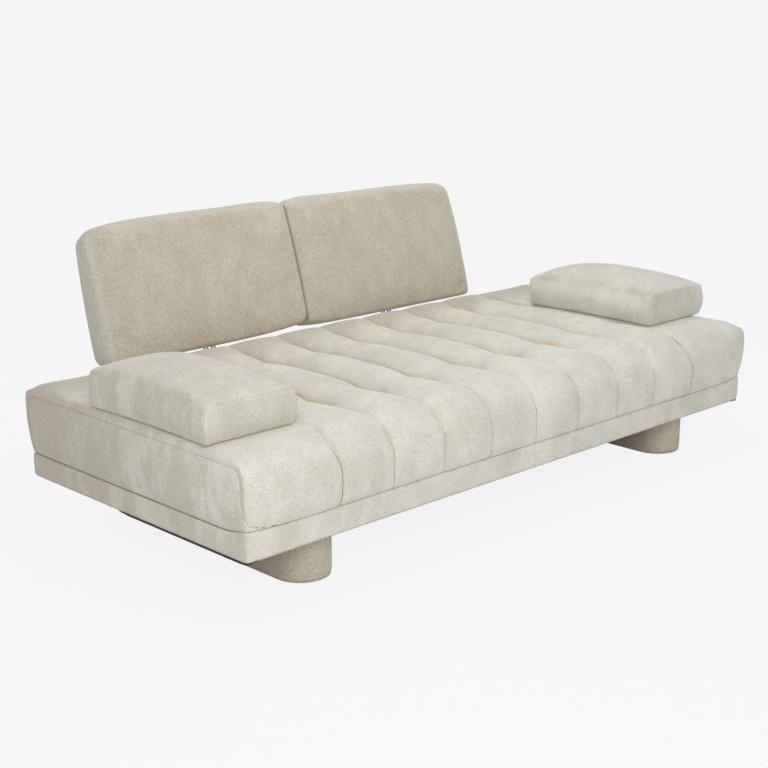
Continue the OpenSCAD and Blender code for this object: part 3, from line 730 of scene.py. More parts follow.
@dataclass
class SeatPad:
    """The long pad with channels, plain ends and two rows of pulls."""

    finishes: Finishes
    mid_y: float
    half_l: float = HALF_L
    half_d: float = HALF_D
    bottom: float = CREASE_Z
    top: float = 0.418
    cells: tuple[int, int, int] = (168, 78, 16)
    rear_radius: float = 0.050
    end_radius: float = 0.036
    corner_radius: float = 0.011
    crown: float = 0.010
    dome: float = 0.006
    bulge: float = 0.011
    belly: float = 0.018
    crease: float = 0.013
    lip: float = 0.0075
    rim: float = 0.006
    skirt: float = 0.12
    margin: float = 0.10
    zone: float = 0.788
    channels: int = 8
    front_row: float = -0.214
    rear_row: float = 0.204
    cheek: float = 0.0065
    channel: float = 0.0235
    pull: float = 0.029
    pull_width: float = 0.038
    pull_dish: float = 0.005
    fullest: float = 0.290
    arm_y: float = -0.06
    arm_reach: float = 0.32
    loop_height: float = 0.390
    loop_radius: float = 0.030
    filling: Filling = Filling(reach=0.010, slack=0.002)
    seam: Seam = Seam(width=0.0034, depth=0.0052, furrow=0.0046)
    end_seam: Seam = Seam(width=0.0022, depth=0.0025, furrow=0.0045)

    @property
    def pitch(self) -> float:
        """Distance from seam to seam."""
        return 2 * self.zone / self.channels

    @property
    def seam_xs(self) -> list[float]:
        """Places of the channel seams."""
        return [-self.zone + k * self.pitch for k in range(self.channels + 1)]

    def gap(self, x: np.ndarray) -> np.ndarray:
        """Signed distance from the nearest channel seam."""
        gaps = x[:, None] - np.array(self.seam_xs)[None, :]
        return gaps[np.arange(len(gaps)), np.abs(gaps).argmin(axis=1)]

    def front_radius(self, x: np.ndarray) -> np.ndarray:
        """Radius of the front edge, larger along the channels."""
        return 0.100 - 0.034 * ease(np.abs(x), self.zone, self.zone + 0.1)

    def shape(self, p: np.ndarray) -> np.ndarray:
        """Rounds and crowns the pad's block of points.

        Args:
            p: Points of the block.

        Returns:
            Points of the pad before its channels.
        """
        x, y = p[:, 0].copy(), p[:, 1].copy()
        in_zone = 1 - ease(np.abs(x), self.zone - 0.004, self.zone + 0.02)
        height = ease(p[:, 2], self.bottom, self.top)
        lift = in_zone * (self.crown + self.dome * np.clip(1 - (y / 0.45) ** 2, 0, 1))
        lift += (1 - in_zone) * 0.005 * ease(y, 0.28, 0.38)
        p[:, 2] += lift * height
        top = self.top + lift
        round_edge(p, 1, 2, -self.half_d, top, self.front_radius(x))
        round_edge(p, 1, 2, self.half_d, top, self.rear_radius)
        for sign in (-1, 1):
            round_edge(p, 0, 2, sign * self.half_l, top, self.end_radius)
            for edge in (-1, 1):
                round_edge(p, 0, 1, sign * self.half_l, edge * self.half_d, self.corner_radius)
        s = np.clip((p[:, 2] - self.bottom) / self.skirt, 0, 1)
        rim = np.abs(p[:, 0]) > self.half_l - self.rim
        rim |= np.abs(p[:, 1]) > self.half_d - self.rim
        p[:, 2] -= (crease_drop(p) + 0.0005) * rim * np.clip(1 - s * 2, 0, 1)
        end = self.bulge - (self.crease - 0.001) * (1 - s) ** 2
        at_corner = ease(np.abs(x), self.half_l - 0.15, self.half_l - 0.01)
        front = self.swell(x, p[:, 2]) * np.where(y < 0, 1.0, 0.75)
        front = front * (1 - at_corner) + end * at_corner
        for axis, old, half, out in ((0, x, self.half_l, end), (1, y, self.half_d, front)):
            reach = ease(np.abs(old), half - self.margin, half - 0.002)
            p[:, axis] += np.sign(old) * out * reach
        return p

    def swell(self, x: np.ndarray, z: np.ndarray) -> np.ndarray:
        """Measures how far the front stands out, most below the middle of its height.

        Args:
            x: Places along the sofa.
            z: Heights.

        Returns:
            How far it stands out from the band.
        """
        t = (z - self.fullest) / np.where(z < self.fullest, 0.075, 0.085)
        shape = np.clip(1 - np.where(t < 0, 0.6, 0.5) * t ** 2, 0, 1)
        full = self.belly + 0.006 * smooth_bump(np.abs(x), 0.86, 0.11)
        return full * shape - 0.006 * np.clip(1 - (z - self.bottom) / 0.02, 0, 1) ** 2

    def dips(self, p: np.ndarray) -> tuple[np.ndarray, np.ndarray]:
        """Measures how deep the channels and pulls lie.

        Args:
            p: Points of the rounded pad.

        Returns:
            Depth at each point, and how firmly the seams hold it.
        """
        x, y, z = p.T
        near = np.abs(self.gap(x))
        inside = 1 - ease(np.abs(x), self.zone, self.zone + 0.045)
        puff = (1 - np.clip(near / (self.pitch / 2), 0, 1)) ** 2
        puff = np.where(np.abs(x) > self.zone, np.exp(-near / 0.020), puff)
        upward = ease(z, self.top - 0.10, self.top - 0.012)
        base = ease(z, self.bottom, self.bottom + 0.05)
        calm = 1 - 0.85 * ease(y, 0.33, 0.45)
        calm *= 1 - 0.30 * smooth_bump(y, -0.42, 0.08) * upward
        firm = self.cheek * (1 - 0.6 * ease(np.abs(x), 0.68, 0.76))
        deep = firm * base * calm * puff + self.channel * upward * calm * puff ** 1.5
        deep *= np.maximum(inside, puff)
        pulls = np.zeros_like(x)
        for row in (self.front_row, self.rear_row):
            along = 0.65 * smooth_bump(y, row, 0.070) + 0.35 * np.exp(-np.abs(y - row) / 0.032)
            dip = self.pull * smooth_bump(near, 0.0, self.pull_width) + self.pull_dish * inside
            pulls += along * dip
        held = smooth_bump(near, 0.0, 0.006) * (near < 0.02)
        return deep + pulls * upward * inside, held

    def painted_shading(self, p: np.ndarray) -> np.ndarray:
        """Paints shade and light: warmer in the pulls and beside the seams, paler along the front
        edge.

        The painted shade also darkens one flank of each seam, the rear under the back panels and
        the ends; the other flank of each seam gets a painted highlight.

        Args:
            p: Points of the pad about the middle of the base.

        Returns:
            Painted shade, above 0, or painted light, below 0, of each point.
        """
        x, y, z = p.T
        gap = self.gap(x)
        near = np.abs(gap)
        upward = ease(z, self.top - 0.09, self.top - 0.02)
        pulls = sum(smooth_bump(y, row, 0.05) for row in (self.front_row, self.rear_row))
        painted_shading = 0.85 * pulls * smooth_bump(near, 0.0, 0.028) * upward
        painted_shading += (0.16 + 0.24 * upward * ease(y, -0.36, -0.20)) * smooth_bump(near, 0.0, 0.012)
        # Painted shade on one flank of each seam and painted highlight on the other.
        flank = np.sign(gap) * np.exp(-near / 0.022) * np.clip(near / 0.003, 0, 1)
        painted_shading += 0.75 * flank * ease(y, -0.38, -0.22) * upward
        painted_shading *= np.abs(x) < self.zone + 0.03
        # Painted highlight along the top of the front edge, and painted shadow of the back panels
        # towards the rear.
        painted_shading -= 0.35 * smooth_bump(y, -0.33, 0.14) * upward
        painted_shading += 0.8 * ease(y, 0.26, 0.42) * upward
        return painted_shading + end_painted_shade(p)

    def across(self, x: float) -> list[Ray]:
        """Rays onto the pad's outline at one place along it.

        Args:
            x: Place along the sofa.

        Returns:
            Rays from the crease up the front, over the top and down the rear.
        """
        r, back, step = float(self.front_radius(np.array([x]))[0]), self.rear_radius, 0.004
        front_y, rear_y, foot = r - self.half_d, self.half_d - back, self.bottom + 0.002
        spots = [(front_y, z, 0.0, 1) for z in np.arange(foot, self.top - r, step)]
        spots += [(front_y, self.top - r, a, 1) for a in np.radians(np.arange(0, 90, 3))]
        spots += [(y, self.top, math.pi / 2, 1) for y in np.arange(front_y, rear_y, step)]
        spots += [(rear_y, self.top - back, a, -1) for a in np.radians(np.arange(90, 0, -6))]
        spots += [(rear_y, z, 0.0, -1) for z in np.arange(self.top - back, foot, -step)]
        rays = []
        for y, z, angle, sign in spots:
            way = Vector((0, sign * math.cos(angle), -math.sin(angle)))
            rays.append((Vector((x, y + self.mid_y, z)) - way * 0.25, way))
        return rays

    def end_loop(self, side: Side) -> list[Ray]:
        """Rays onto one end face along the seam that frames it.

        Args:
            side: Which end.

        Returns:
            Rays from the front crease over the top to the rear crease.
        """
        front, rear = 0.006 - self.half_d, self.half_d - 0.014
        high, r = self.loop_height, self.loop_radius
        turn = [(r * math.sin(a), r * math.cos(a)) for a in np.radians(np.arange(0, 90, 5))]
        shoulder = high - r
        spots = [(front - 0.008 * (1 - (z - self.bottom) / (shoulder - self.bottom)) ** 0.7, z)
                 for z in np.arange(self.bottom + 0.001, shoulder, 0.004)]
        spots += [(front + r - level, shoulder + up) for up, level in turn]
        spots += [(y, high) for y in np.arange(front + r, rear - r, 0.005)]
        spots += [(rear - r + level, shoulder + up) for level, up in turn]
        spots += [(rear, z) for z in np.arange(shoulder, self.bottom, -0.004)]
        way = Vector((-side.value, 0, 0))
        return [(Vector((side.value * 1.3, y + self.mid_y, z)), way) for y, z in spots]

    def gather(self, p: np.ndarray) -> np.ndarray:
        """Draws the rows of the block's points to the edges and the channel seams.

        Args:
            p: Points of the block, evenly spread.

        Returns:
            The same points, closer together where the pad bends most.
        """
        for axis, half, knots in ((0, self.half_l, [self.zone]), (1, self.half_d, [])):
            cell = 2 * half / self.cells[axis]
            spots = [half * 5 / 7] * len(knots) + [half - cell, half]
            goals = knots + [half - self.lip, half]
            spots, goals = [-v for v in spots[::-1]] + spots, [-v for v in goals[::-1]] + goals
            p[:, axis] = np.interp(p[:, axis], spots, goals)
        pull = 0.015 * np.sin(2 * math.pi * p[:, 0] / self.pitch)
        p[:, 0] -= pull * (np.abs(p[:, 0]) < self.zone)
        return p

    def press(self, pad: bpy.types.Object) -> np.ndarray:
        """Presses the channels and pulls into the pad.

        Args:
            pad: The rounded pad.

        Returns:
            Hold of each point while the pad is blown up.
        """
        points, normals = points_of(pad.data), points_of(pad.data, "normal")
        deep, seams = self.dips(points)
        floor = points[:, 2] < self.bottom + 0.006
        deep[floor] = 0
        move_points(pad.data, points - normals * deep[:, None])
        held = np.maximum(seams, floor)
        under_arm = np.abs(points[:, 0]) > self.zone + 0.012
        under_arm &= np.abs(points[:, 1] - self.arm_y) < self.arm_reach
        held[under_arm & (points[:, 2] > self.top - 0.004)] = 1
        return held

    def level(self, p: np.ndarray) -> np.ndarray:
        """Keeps the pad below the arm cushions and above the band, and puts it in its place.

        Args:
            p: Points of the blown-up pad about the middle of the base.

        Returns:
            The same points in the sofa's frame.
        """
        x, y, z = p.T
        top = self.top + 0.005 * ease(np.abs(y - self.arm_y), self.arm_reach - 0.005, 0.36)
        z = np.where(np.abs(x) > self.zone + 0.010, np.minimum(z, top), z)
        z = np.maximum(z, self.bottom - crease_drop(p))
        return np.stack([x, y + self.mid_y, z], axis=1)

    def build(self) -> None:
        """Builds the pad with its seams."""
        ends = (-self.half_l, -self.half_d, self.bottom), (self.half_l, self.half_d, self.top)
        bm = Block(*ends, self.cells).raise_mesh()
        pad = stand("seat_pad_cover", bm, self.finishes.seat)
        move_points(pad.data, self.shape(self.gather(points_of(pad.data))))
        self.filling.blow_up(pad, self.press(pad))
        refine(pad)
        points = points_of(pad.data)
        paint_shading(pad, self.painted_shading(points))
        move_points(pad.data, self.level(points))
        channel_lines = [self.across(x) for x in self.seam_xs]
        end_lines = [self.end_loop(side) for side in Side]
        self.seam.sink(pad, channel_lines)
        self.end_seam.sink(pad, end_lines)
        threads = self.seam.sew("seat_channel_seams", pad, channel_lines, self.finishes.dark_seam)
        loops = self.end_seam.sew("seat_end_seams", pad, end_lines, self.finishes.seam)
        hand_over(pad, (threads, loops), "base", "seat_pad")


@dataclass
class Band:
    """The plain padded band round the frame, with the crease under the pad."""

    finishes: Finishes
    mid_y: float
    half_l: float = HALF_L
    half_d: float = HALF_D
    low: float = 0.143
    high: float = CREASE_Z
    wall: float = 0.0078
    corner_radius: float = 0.007
    top_tuck: float = 0.0025
    end_tuck: float = 0.0012
    foot_tuck: float = 0.0030
    ripple: float = 0.0008
    shade_strip_wall: float = 0.003
    shade_strip_depths: Triple = (0.0017, 0.0038, 0.003)
    hem_wall: float = 0.0012
    hem_rear: float = 0.055
    hem_hang: float = 0.0055
    joint: Seam = Seam(width=0.0014, depth=0.0, furrow=0.004)

    def hoop(self, name: str, low: float, high: float, cuts: tuple[int, int, int],
             finish: bpy.types.Material) -> bpy.types.Object:
        """Makes an upright strip of cloth round the base.

        Args:
            name: The piece's name.
            low: Height of its lower edge.
            high: Height of its upper edge.
            cuts: How many faces it has along, across and up.
            finish: Its material.

        Returns:
            The strip.
        """
        ends = (-self.half_l, -self.half_d, low), (self.half_l, self.half_d, high)
        bm = Block(*ends, cuts).raise_mesh()
        open_ends(bm)
        return stand(name, bm, finish)

    def build(self) -> None:
        """Builds the band and its seams."""
        cuts = (200, 90, 10)
        band = self.hoop("band_cover_fabric", self.low, self.high, cuts, self.finishes.seat)
        p = points_of(band.data)
        for sx in (-1, 1):
            for sy in (-1, 1):
                round_edge(p, 0, 1, sx * self.half_l, sy * self.half_d, self.corner_radius)
        s = np.clip((p[:, 2] - self.low) / (self.high - self.low), 0, 1)
        at_end = ease(np.abs(p[:, 0]), self.half_l - 0.015, self.half_l - 0.002)
        top_tuck = self.top_tuck + (self.end_tuck - self.top_tuck) * at_end
        tuck = top_tuck * np.clip((s - 0.9) / 0.1, 0, 1) ** 2
        tuck += self.foot_tuck * np.clip((0.14 - s) / 0.14, 0, 1) ** 2
        p[:, 2] -= crease_drop(p) * s
        wave = np.sin(p[:, 0] * 9.0 + 1.0) * np.sin(p[:, 1] * 7.0 + 2.0) * np.sin(math.pi * s)
        tuck -= self.ripple * wave
        for axis, half in ((1, self.half_d), (0, self.half_l)):
            p[:, axis] -= np.sign(p[:, axis]) * tuck * (np.abs(p[:, axis]) > half - 0.008)
        # Painted shade on the band's ends, darker towards the rear.
        painted_shading = end_painted_shade(p)
        p[:, 1] += self.mid_y
        move_points(band.data, p)
        paint_shading(band, painted_shading)
        thicken(band, self.wall)
        front = [(Vector((0.004, self.mid_y - 0.7, z)), Vector((0, 1, 0)))
                 for z in np.arange(self.low + 0.004, self.high - 0.004, 0.003)]
        thread = self.joint.sew("band_joint_seam", band, [front], self.finishes.seam)
        others = (thread, self.shade_strip())
        hand_over(band, others, "base", "band_cover")
        for side in Side:
            self.hem(side)

    def shade_strip(self) -> bpy.types.Object:
        """Builds a strip in the darker seam colour deep in the crease, painted shade that shows as
        a dark line there.

        Returns:
            The strip, which lies deeper at the corners.
        """
        low, high = self.high - 0.004, self.high + 0.004
        # Painted shade: a strip in the darker seam colour that shows the crease as a dark line.
        strip = self.hoop("crease_shade_strip", low, high, (100, 46, 2), self.finishes.seam)
        p = points_of(strip.data)
        p[:, 2] -= crease_drop(p) * (p[:, 2] < self.high + 0.002)
        away = np.hypot(np.abs(p[:, 0]) - self.half_l, np.abs(p[:, 1]) - self.half_d)
        corner = smooth_bump(away, 0.0, 0.10)
        *depths, corner_depth = self.shade_strip_depths
        for axis, half, deep in zip((0, 1), (self.half_l, self.half_d), depths):
            inset = (deep + corner_depth * corner) / half
            p[:, axis] *= 1 - inset * (np.abs(p[:, axis]) > half - 0.001)
        p[:, 1] += self.mid_y
        move_points(strip.data, p)
        thicken(strip, self.shade_strip_wall)
        return strip

    def hem(self, side: Side) -> None:
        """Builds the edge of the under cloth that hangs below one end and its front corner.

        Args:
            side: Which end.
        """
        bm = bmesh.new()
        bmesh.ops.create_grid(bm, x_segments=60, y_segments=2, size=0.5)
        end, front, tip = self.half_l - 0.003, 0.003 - self.half_d, self.half_l - 0.04
        reach_end, reach_front = self.hem_rear - front, end - tip
        reach = reach_end + reach_front
        for vert in bm.verts:
            along = (vert.co.x + 0.5) * reach
            hang = self.hem_hang * min(1.0, along / 0.03, (reach - along) / 0.06)
            x = -end + max(0.0, along - reach_end)
            y = self.hem_rear - min(along, reach_end)
            z = self.low + 0.002 - (0.5 - vert.co.y) * (0.002 + max(0.0, hang))
            vert.co = Vector((-side.value * x, y + self.mid_y, z))
        bmesh.ops.recalc_face_normals(bm, faces=bm.faces)
        hem = stand(f"under_cloth_hem_{side.word}", bm, self.finishes.cloth)
        thicken(hem, self.hem_wall, 0.0)
        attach(hem, "base")
        LOG.info("%s: %d faces", hem.name, len(hem.data.polygons))


@dataclass
class Foot:
    """One oblong foot with round ends, covered in fabric."""

    finishes: Finishes
    side: Side
    wall: float = 0.0048
    tuck: float = 0.003
    segments: int = 20

    def build(self) -> None:
        """Builds the foot's cover."""
        node = f"foot_cover_{self.side.word}"
        low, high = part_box(node)
        middle, radius = (low + high) / 2, (high.x - low.x) / 2 - 0.0005
        bm = Block(tuple(low), tuple(high), (1, 1, 1)).raise_mesh()
        bmesh.ops.bevel(bm, geom=upright_edges(bm), offset=radius, affect="EDGES",
                        segments=self.segments, profile=0.5, material=-1)
        bmesh.ops.remove_doubles(bm, verts=bm.verts, dist=0.0002)
        open_ends(bm)
        bmesh.ops.subdivide_edges(bm, edges=upright_edges(bm), cuts=9)
        for vert in bm.verts:
            if vert.co.z - low.z < 0.001:
                out = Vector((vert.co.x - middle.x, vert.co.y - middle.y, 0))
                vert.co -= out.normalized() * self.tuck
        bmesh.ops.recalc_face_normals(bm, faces=bm.faces)
        cover = stand(f"foot_fabric_{self.side.word}", bm, self.finishes.foot)
        thicken(cover, self.wall)
        hand_over(cover, (), "base", node)


@dataclass(frozen=True)
class Lie:
    """How one loose cushion lies: its shift on the seat, the sag of its corners and the painted
    shade and light on it.
    """

    shift: tuple[float, float]
    dome: float
    inner_rise: float
    outer_rise: float
    rear_radius: float
    spread: float
    # Painted shade over the whole cushion, then painted shade or light on its sides, below 0 paler.
    painted_shading: float
    side_painted_shading: float


@dataclass
class ArmCushion:
    """One loose arm cushion: a domed pillow with framed front and rear faces."""

    finishes: Finishes
    side: Side
    lie: Lie
    half_w: float = 0.1525
    half_l: float = 0.2680
    height: float = 0.099
    floor: float = 0.0001
    cells: tuple[int, int, int] = (36, 62, 14)
    face_radius: float = 0.008
    foot_radius: float = 0.004
    corner_radius: float = 0.006
    roll: float = 0.009
    belly_roll: float = 0.041
    side_bulge: float = 0.004
    face_bulge: float = 0.005
    seam_inset: float = 0.004
    seam_rise: float = 0.012
    bow: float = 0.020
    draw: float = 0.005
    undercut: float = 0.004
    filling: Filling = Filling(reach=0.012, slack=0.003)
    seam: Seam = Seam(width=0.0018, depth=0.0016, furrow=0.0035)

    def shape(self, p: np.ndarray) -> np.ndarray:
        """Rounds, bows and domes the cushion's block of points.

        Args:
            p: Points of the block, with the cushion's length along Y.

        Returns:
            Points of the cushion about its middle, with its bottom at 0.
        """
        v = p[:, 1] / self.half_l
        belly = self.belly_roll * (1 - v ** 2)
        for sy in (-1, 1):
            edge = sy * self.half_l
            round_edge(p, 1, 2, edge, self.height, self.face_radius)
            round_edge(p, 1, 2, edge, self.floor, self.foot_radius, way=-1)
        for sx in (-1, 1):
            edge = sx * self.half_w
            round_edge(p, 0, 2, edge, self.height, self.roll + belly)
            round_edge(p, 0, 2, edge, self.floor, self.foot_radius + 0.2 * belly, way=-1)
            for sy in (-1, 1):
                soft = sx == self.side.value and sy == 1
                radius = self.lie.rear_radius if soft else self.corner_radius
                round_edge(p, 0, 1, edge, sy * self.half_l, radius)
        u, v = p[:, 0] / self.half_w, p[:, 1] / self.half_l
        along, over = 1 - v ** 2, 1 - np.abs(u) ** 2.2
        share = ease(p[:, 2], 0.02, self.height)
        outward = self.side.value * u
        at_front = ease(-v, 0.1, 1.0)
        corners = self.lie.inner_rise * ease(-outward, -0.8, 1.0)
        corners += self.lie.outer_rise * ease(outward, -0.2, 1.0)
        dome = self.lie.dome * over * (0.35 + 0.65 * (1 - v ** 4))
        p[:, 2] += share * (self.bow * along + dome + at_front * corners)
        side = np.sin(math.pi * np.clip(p[:, 2] / self.height, 0, 1))
        under = self.undercut * np.clip(1 - p[:, 2] / (0.45 * self.height), 0, 1) ** 1.6
        out = np.abs(u) * (self.side_bulge * side - self.draw * along * (1 - side) - under)
        p[:, 0] += np.sign(p[:, 0]) * out
        p[:, 0] += self.side.value * self.lie.spread * side * ease(outward, 0.2, 1.0) * at_front
        out = (self.face_bulge * side * (1 - u ** 2) - under) * ease(np.abs(v), 0.8, 1.0)
        p[:, 1] += np.sign(p[:, 1]) * out
        return p

    def loops(self, middle: Vector) -> list[list[Ray]]:
        """Rays onto the seams that frame the front and the rear face.

        Args:
            middle: Middle of the cushion's bottom.

        Returns:
            One line of rays for each face.
        """
        lines = []
        hw, hz = self.half_w - self.seam_inset, self.height + 0.003
        rise, step = self.seam_rise, 0.003
        for sign in (-1, 1):
            spots = [(-hw, z) for z in np.arange(self.seam_inset, hz - rise, step)]
            spots += [(x, hz + rise * (1 - (x / hw) ** 2)) for x in np.linspace(-hw, hw, 90)]
            spots += [(hw, z) for z in np.arange(hz - rise, self.seam_inset, -step)]
            centre = Vector((0, sign * (self.half_l - 0.06), self.height / 2))
            rays = []
            for x, z in spots:
                aim = Vector((x, sign * self.half_l, z)) - centre
                way = -Vector((aim.x * 0.9, aim.y, aim.z * 0.9)).normalized()
                target = Vector((x * 0.985, sign * (self.half_l - 0.006), min(z, hz - 0.002)))
                rays.append((middle + target - way * 0.2, way))
            lines.append(rays)
        return lines

    def build(self) -> None:
        """Builds the cushion with its seams."""
        node = f"arm_cushion_{self.side.word}"
        low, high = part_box(node)
        middle = (low + high) / 2 + Vector((*self.lie.shift, 0))
        middle.z = low.z
        ends = (-self.half_w, -self.half_l, self.floor), (self.half_w, self.half_l, self.height)
        bm = Block(*ends, self.cells).raise_mesh()
        cushion = stand(f"arm_cushion_cover_{self.side.word}", bm, self.finishes.seat)
        p = self.shape(points_of(cushion.data))
        held = np.where(p[:, 2] < 0.004, 1.0, 0.0)
        held = np.maximum(held, 0.8 * smooth_bump(np.abs(p[:, 1]), self.half_l, 0.010))
        move_points(cushion.data, p)
        self.filling.blow_up(cushion, held)
        refine(cushion)
        p = points_of(cushion.data)
        p[:, 2] = np.maximum(p[:, 2], self.floor)
        # Painted shade on the front face and over the whole cushion, and painted light on the sides
        # where the lie says.
        front = ease(-p[:, 1], self.half_l - 0.02, self.half_l - 0.006)
        sides = ease(np.abs(p[:, 0]), self.half_w - 0.012, self.half_w - 0.002)
        painted_shading = 0.1 * front * (p[:, 2] < self.height + 0.004)
        painted_shading += self.lie.painted_shading + self.lie.side_painted_shading * sides
        p += np.array(middle)
        move_points(cushion.data, p)
        paint_shading(cushion, painted_shading)
        lines = self.loops(middle)
        self.seam.sink(cushion, lines)
        name, body = f"arm_seams_{self.side.word}", f"arm_{self.side.word}"
        thread = self.seam.sew(name, cushion, lines, self.finishes.pale_seam)
        hand_over(cushion, (thread,), body, node)


@dataclass(frozen=True)
class PanelForm:
    """How one panel departs from a plain wedge.

    Radii of three corners, falls of the top towards its two ends, rise of the foot towards the
    other panel with the power that keeps it near the joint, and swell of the outer end.
    """

    inner_top: float
    inner_foot: float
    outer_top: float
    outer_fall: float
    inner_fall: float
    rise: float
    power: int
    swell: float


@dataclass
class BackPanel:
    """One leaning back panel: a wedge of padding with a rolled, bowed top."""

    finishes: Finishes
    side: Side
    form: PanelForm
    mid_y: float
    cells: tuple[int, int, int] = (80, 14, 46)
    half_l: float = 0.3985
    height: float = 0.444
    foot: float = -0.0085
    thick: float = 0.104
    taper: float = 0.032
    bow: float = 0.011
    rear_bow: float = 0.003
    spread: float = 0.011
    rear_spread: float = 0.004
    seam_inset: float = 0.014
    top_radius: float = 0.034
    outer_radius: float = 0.026
    inner_radius: float = 0.009
    foot_radii: tuple[float, float] = (0.016, 0.030)
    lean: float = math.radians(17.5)
    foot_y: float = 0.505
    foot_z: float = 0.427
    mid_x: float = 0.401
    filling: Filling = Filling(reach=0.010, slack=0.003)
    seam: Seam = Seam(width=0.0014, depth=0.0012, furrow=0.0035)

    def to_sofa(self, p: np.ndarray) -> np.ndarray:
        """Moves points from the panel's own frame to the sofa's.

        Args:
            p: Points with X along the panel, Y through it and Z up its lean.

        Returns:
            The same points in the sofa's frame.
        """
        sin, cos = math.sin(self.lean), math.cos(self.lean)
        x = p[:, 0] + self.side.value * self.mid_x
        y = self.foot_y + self.mid_y + cos * p[:, 1] + sin * p[:, 2]
        z = self.foot_z - sin * p[:, 1] + cos * p[:, 2]
        return np.stack([x, y, z], axis=1)

    def shape(self, p: np.ndarray) -> np.ndarray:
        """Rounds and swells the panel's block of points.

        Args:
            p: Points of the block in the panel's frame.

        Returns:
            Points of the panel in the same frame.
        """
        half_t, top, form = self.thick / 2, self.height, self.form
        outer = self.side.value
        q = p.copy()
        q[:, 1] -= half_t
        for st, foot_radius in zip((-1, 1), self.foot_radii):
            round_edge(q, 1, 2, st * half_t, top, self.top_radius)
            round_edge(q, 1, 2, st * half_t, self.foot, foot_radius)
            for way, radius in ((outer, self.outer_radius), (-outer, self.inner_radius)):
                round_edge(q, 0, 1, way * self.half_l, st * half_t, radius)
        rearward = np.clip(q[:, 1] / self.thick + 0.5, 0, 1)
        for way, high, low in ((outer, form.outer_top, 0.014 + 0.026 * rearward),
                               (-outer, form.inner_top, form.inner_foot)):
            round_edge(q, 0, 2, way * self.half_l, top, high)
            round_edge(q, 0, 2, way * self.half_l, self.foot, low)
        q[:, 1] += half_t
        u, v = q[:, 0] / self.half_l, np.clip(q[:, 2] / top, 0, 1)
        share = np.clip(q[:, 1] / self.thick, 0, 1)
        q[:, 1] -= self.taper * share * v
        swell = 4 * v * (1 - v)
        q[:, 1] -= (1 - share) * self.bow * swell * (0.55 + 0.45 * (1 - u ** 4))
        q[:, 1] += share * self.rear_bow * swell
        spread = self.spread + (self.rear_spread - self.spread) * share
        widen = form.swell * swell ** 0.5 + spread * (1 - v) ** 1.2
        q[:, 0] += outer * widen * ease(outer * q[:, 0], self.half_l - 0.06, self.half_l)
        outward, inward = np.clip(outer * u, 0, None), np.clip(-outer * u, 0, None)
        fall = form.outer_fall * outward ** 3.4 + form.inner_fall * inward ** 7
        q[:, 2] -= fall * ease(v, 0.3, 1.0)
        q[:, 2] += form.rise * inward ** form.power * (1 - ease(v, 0.0, 0.35))
        return q

    def painted_shading(self, q: np.ndarray) -> np.ndarray:
        """Paints shade and light: warm, dark shade at the foot, a pale highlight along the top and
        the outer end.

        Args:
            q: Points in the panel's own frame.

        Returns:
            Painted shade, above 0, or painted light, below 0, of each point.
        """
        v, outward = q[:, 2] / self.height, self.side.value * q[:, 0]
        # Painted shade at the foot; painted highlight along the top and the outer end.
        painted_shading = 0.2 * (1 - ease(v, 0.0, 0.25)) - 0.6 * ease(v, 0.90, 0.99)
        return painted_shading - 0.5 * ease(outward, self.half_l - 0.022, self.half_l - 0.004)

    def pocket(self, panel: bpy.types.Object) -> None:
        """Opens the slot under the panel for the posts and the hollow round the hinge.

        Args:
            panel: The panel's cover, still in its own frame.
        """
        core = 0.047
        slot = Block((-0.025, core - 0.012, -0.02), (0.025, core + 0.024, 0.022), (1, 1, 1))
        hollow = Block((-0.0602, core - 0.0202, 0.0158), (0.0602, core + 0.0202, 0.136), (1, 1, 1))
        for block in (slot, hollow):
            cutter = stand("pocket_cutter", block.raise_mesh(), self.finishes.cloth)
            modify(panel, "BOOLEAN", operation="DIFFERENCE", solver="EXACT", object=cutter)
            mesh = cutter.data
            bpy.data.objects.remove(cutter)
            bpy.data.meshes.remove(mesh)

    def rear_lines(self) -> list[list[Ray]]:
        """Rays onto the seam that frames the rear face.

        Returns:
            One line of rays.
        """
        wide, low, high = self.half_l - self.seam_inset, 0.016, self.height - self.top_radius
        step = 0.006
        spots = [(-wide, u) for u in np.arange(low, high - 0.012, step)]
        spots += [(x, high - 0.022 * abs(x / wide) ** 4) for x in np.arange(-wide, wide, step)]
        spots += [(wide, u) for u in np.arange(high - 0.012, low, -step)]
        starts, aims = (self.to_sofa(np.array([(x, y, u) for x, u in spots])) for y in (0.3, 0.0))
        return [[(Vector(a), (Vector(b) - Vector(a)).normalized()) for a, b in zip(starts, aims)]]

    def build(self) -> None:
        """Builds the panel with its seams."""
        ends = (-self.half_l, 0.0, self.foot), (self.half_l, self.thick, self.height)
        bm = Block(*ends, self.cells).raise_mesh()
        panel = stand(f"back_pad_cover_{self.side.word}", bm, self.finishes.back)
        p = self.shape(points_of(panel.data))
        held = np.where(p[:, 2] < 0.012, 1.0, 0.0)
        held = np.maximum(held, smooth_bump(np.abs(p[:, 0]), self.half_l, 0.006))
        move_points(panel.data, p)
        self.filling.blow_up(panel, held)
        refine(panel)
        p = points_of(panel.data)
        inner = -self.side.value
        p[:, 0] = inner * np.minimum(inner * p[:, 0], self.half_l + 0.001)
        move_points(panel.data, p)
        self.pocket(panel)
        p = points_of(panel.data)
        paint_shading(panel, self.painted_shading(p))
        move_points(panel.data, self.to_sofa(p))
        lines = self.rear_lines()
        self.seam.sink(panel, lines)
        word = self.side.word
        thread = self.seam.sew(f"back_seams_{word}", panel, lines, self.finishes.seam)
        hand_over(panel, (thread,), f"back_{word}", f"back_pad_{word}")


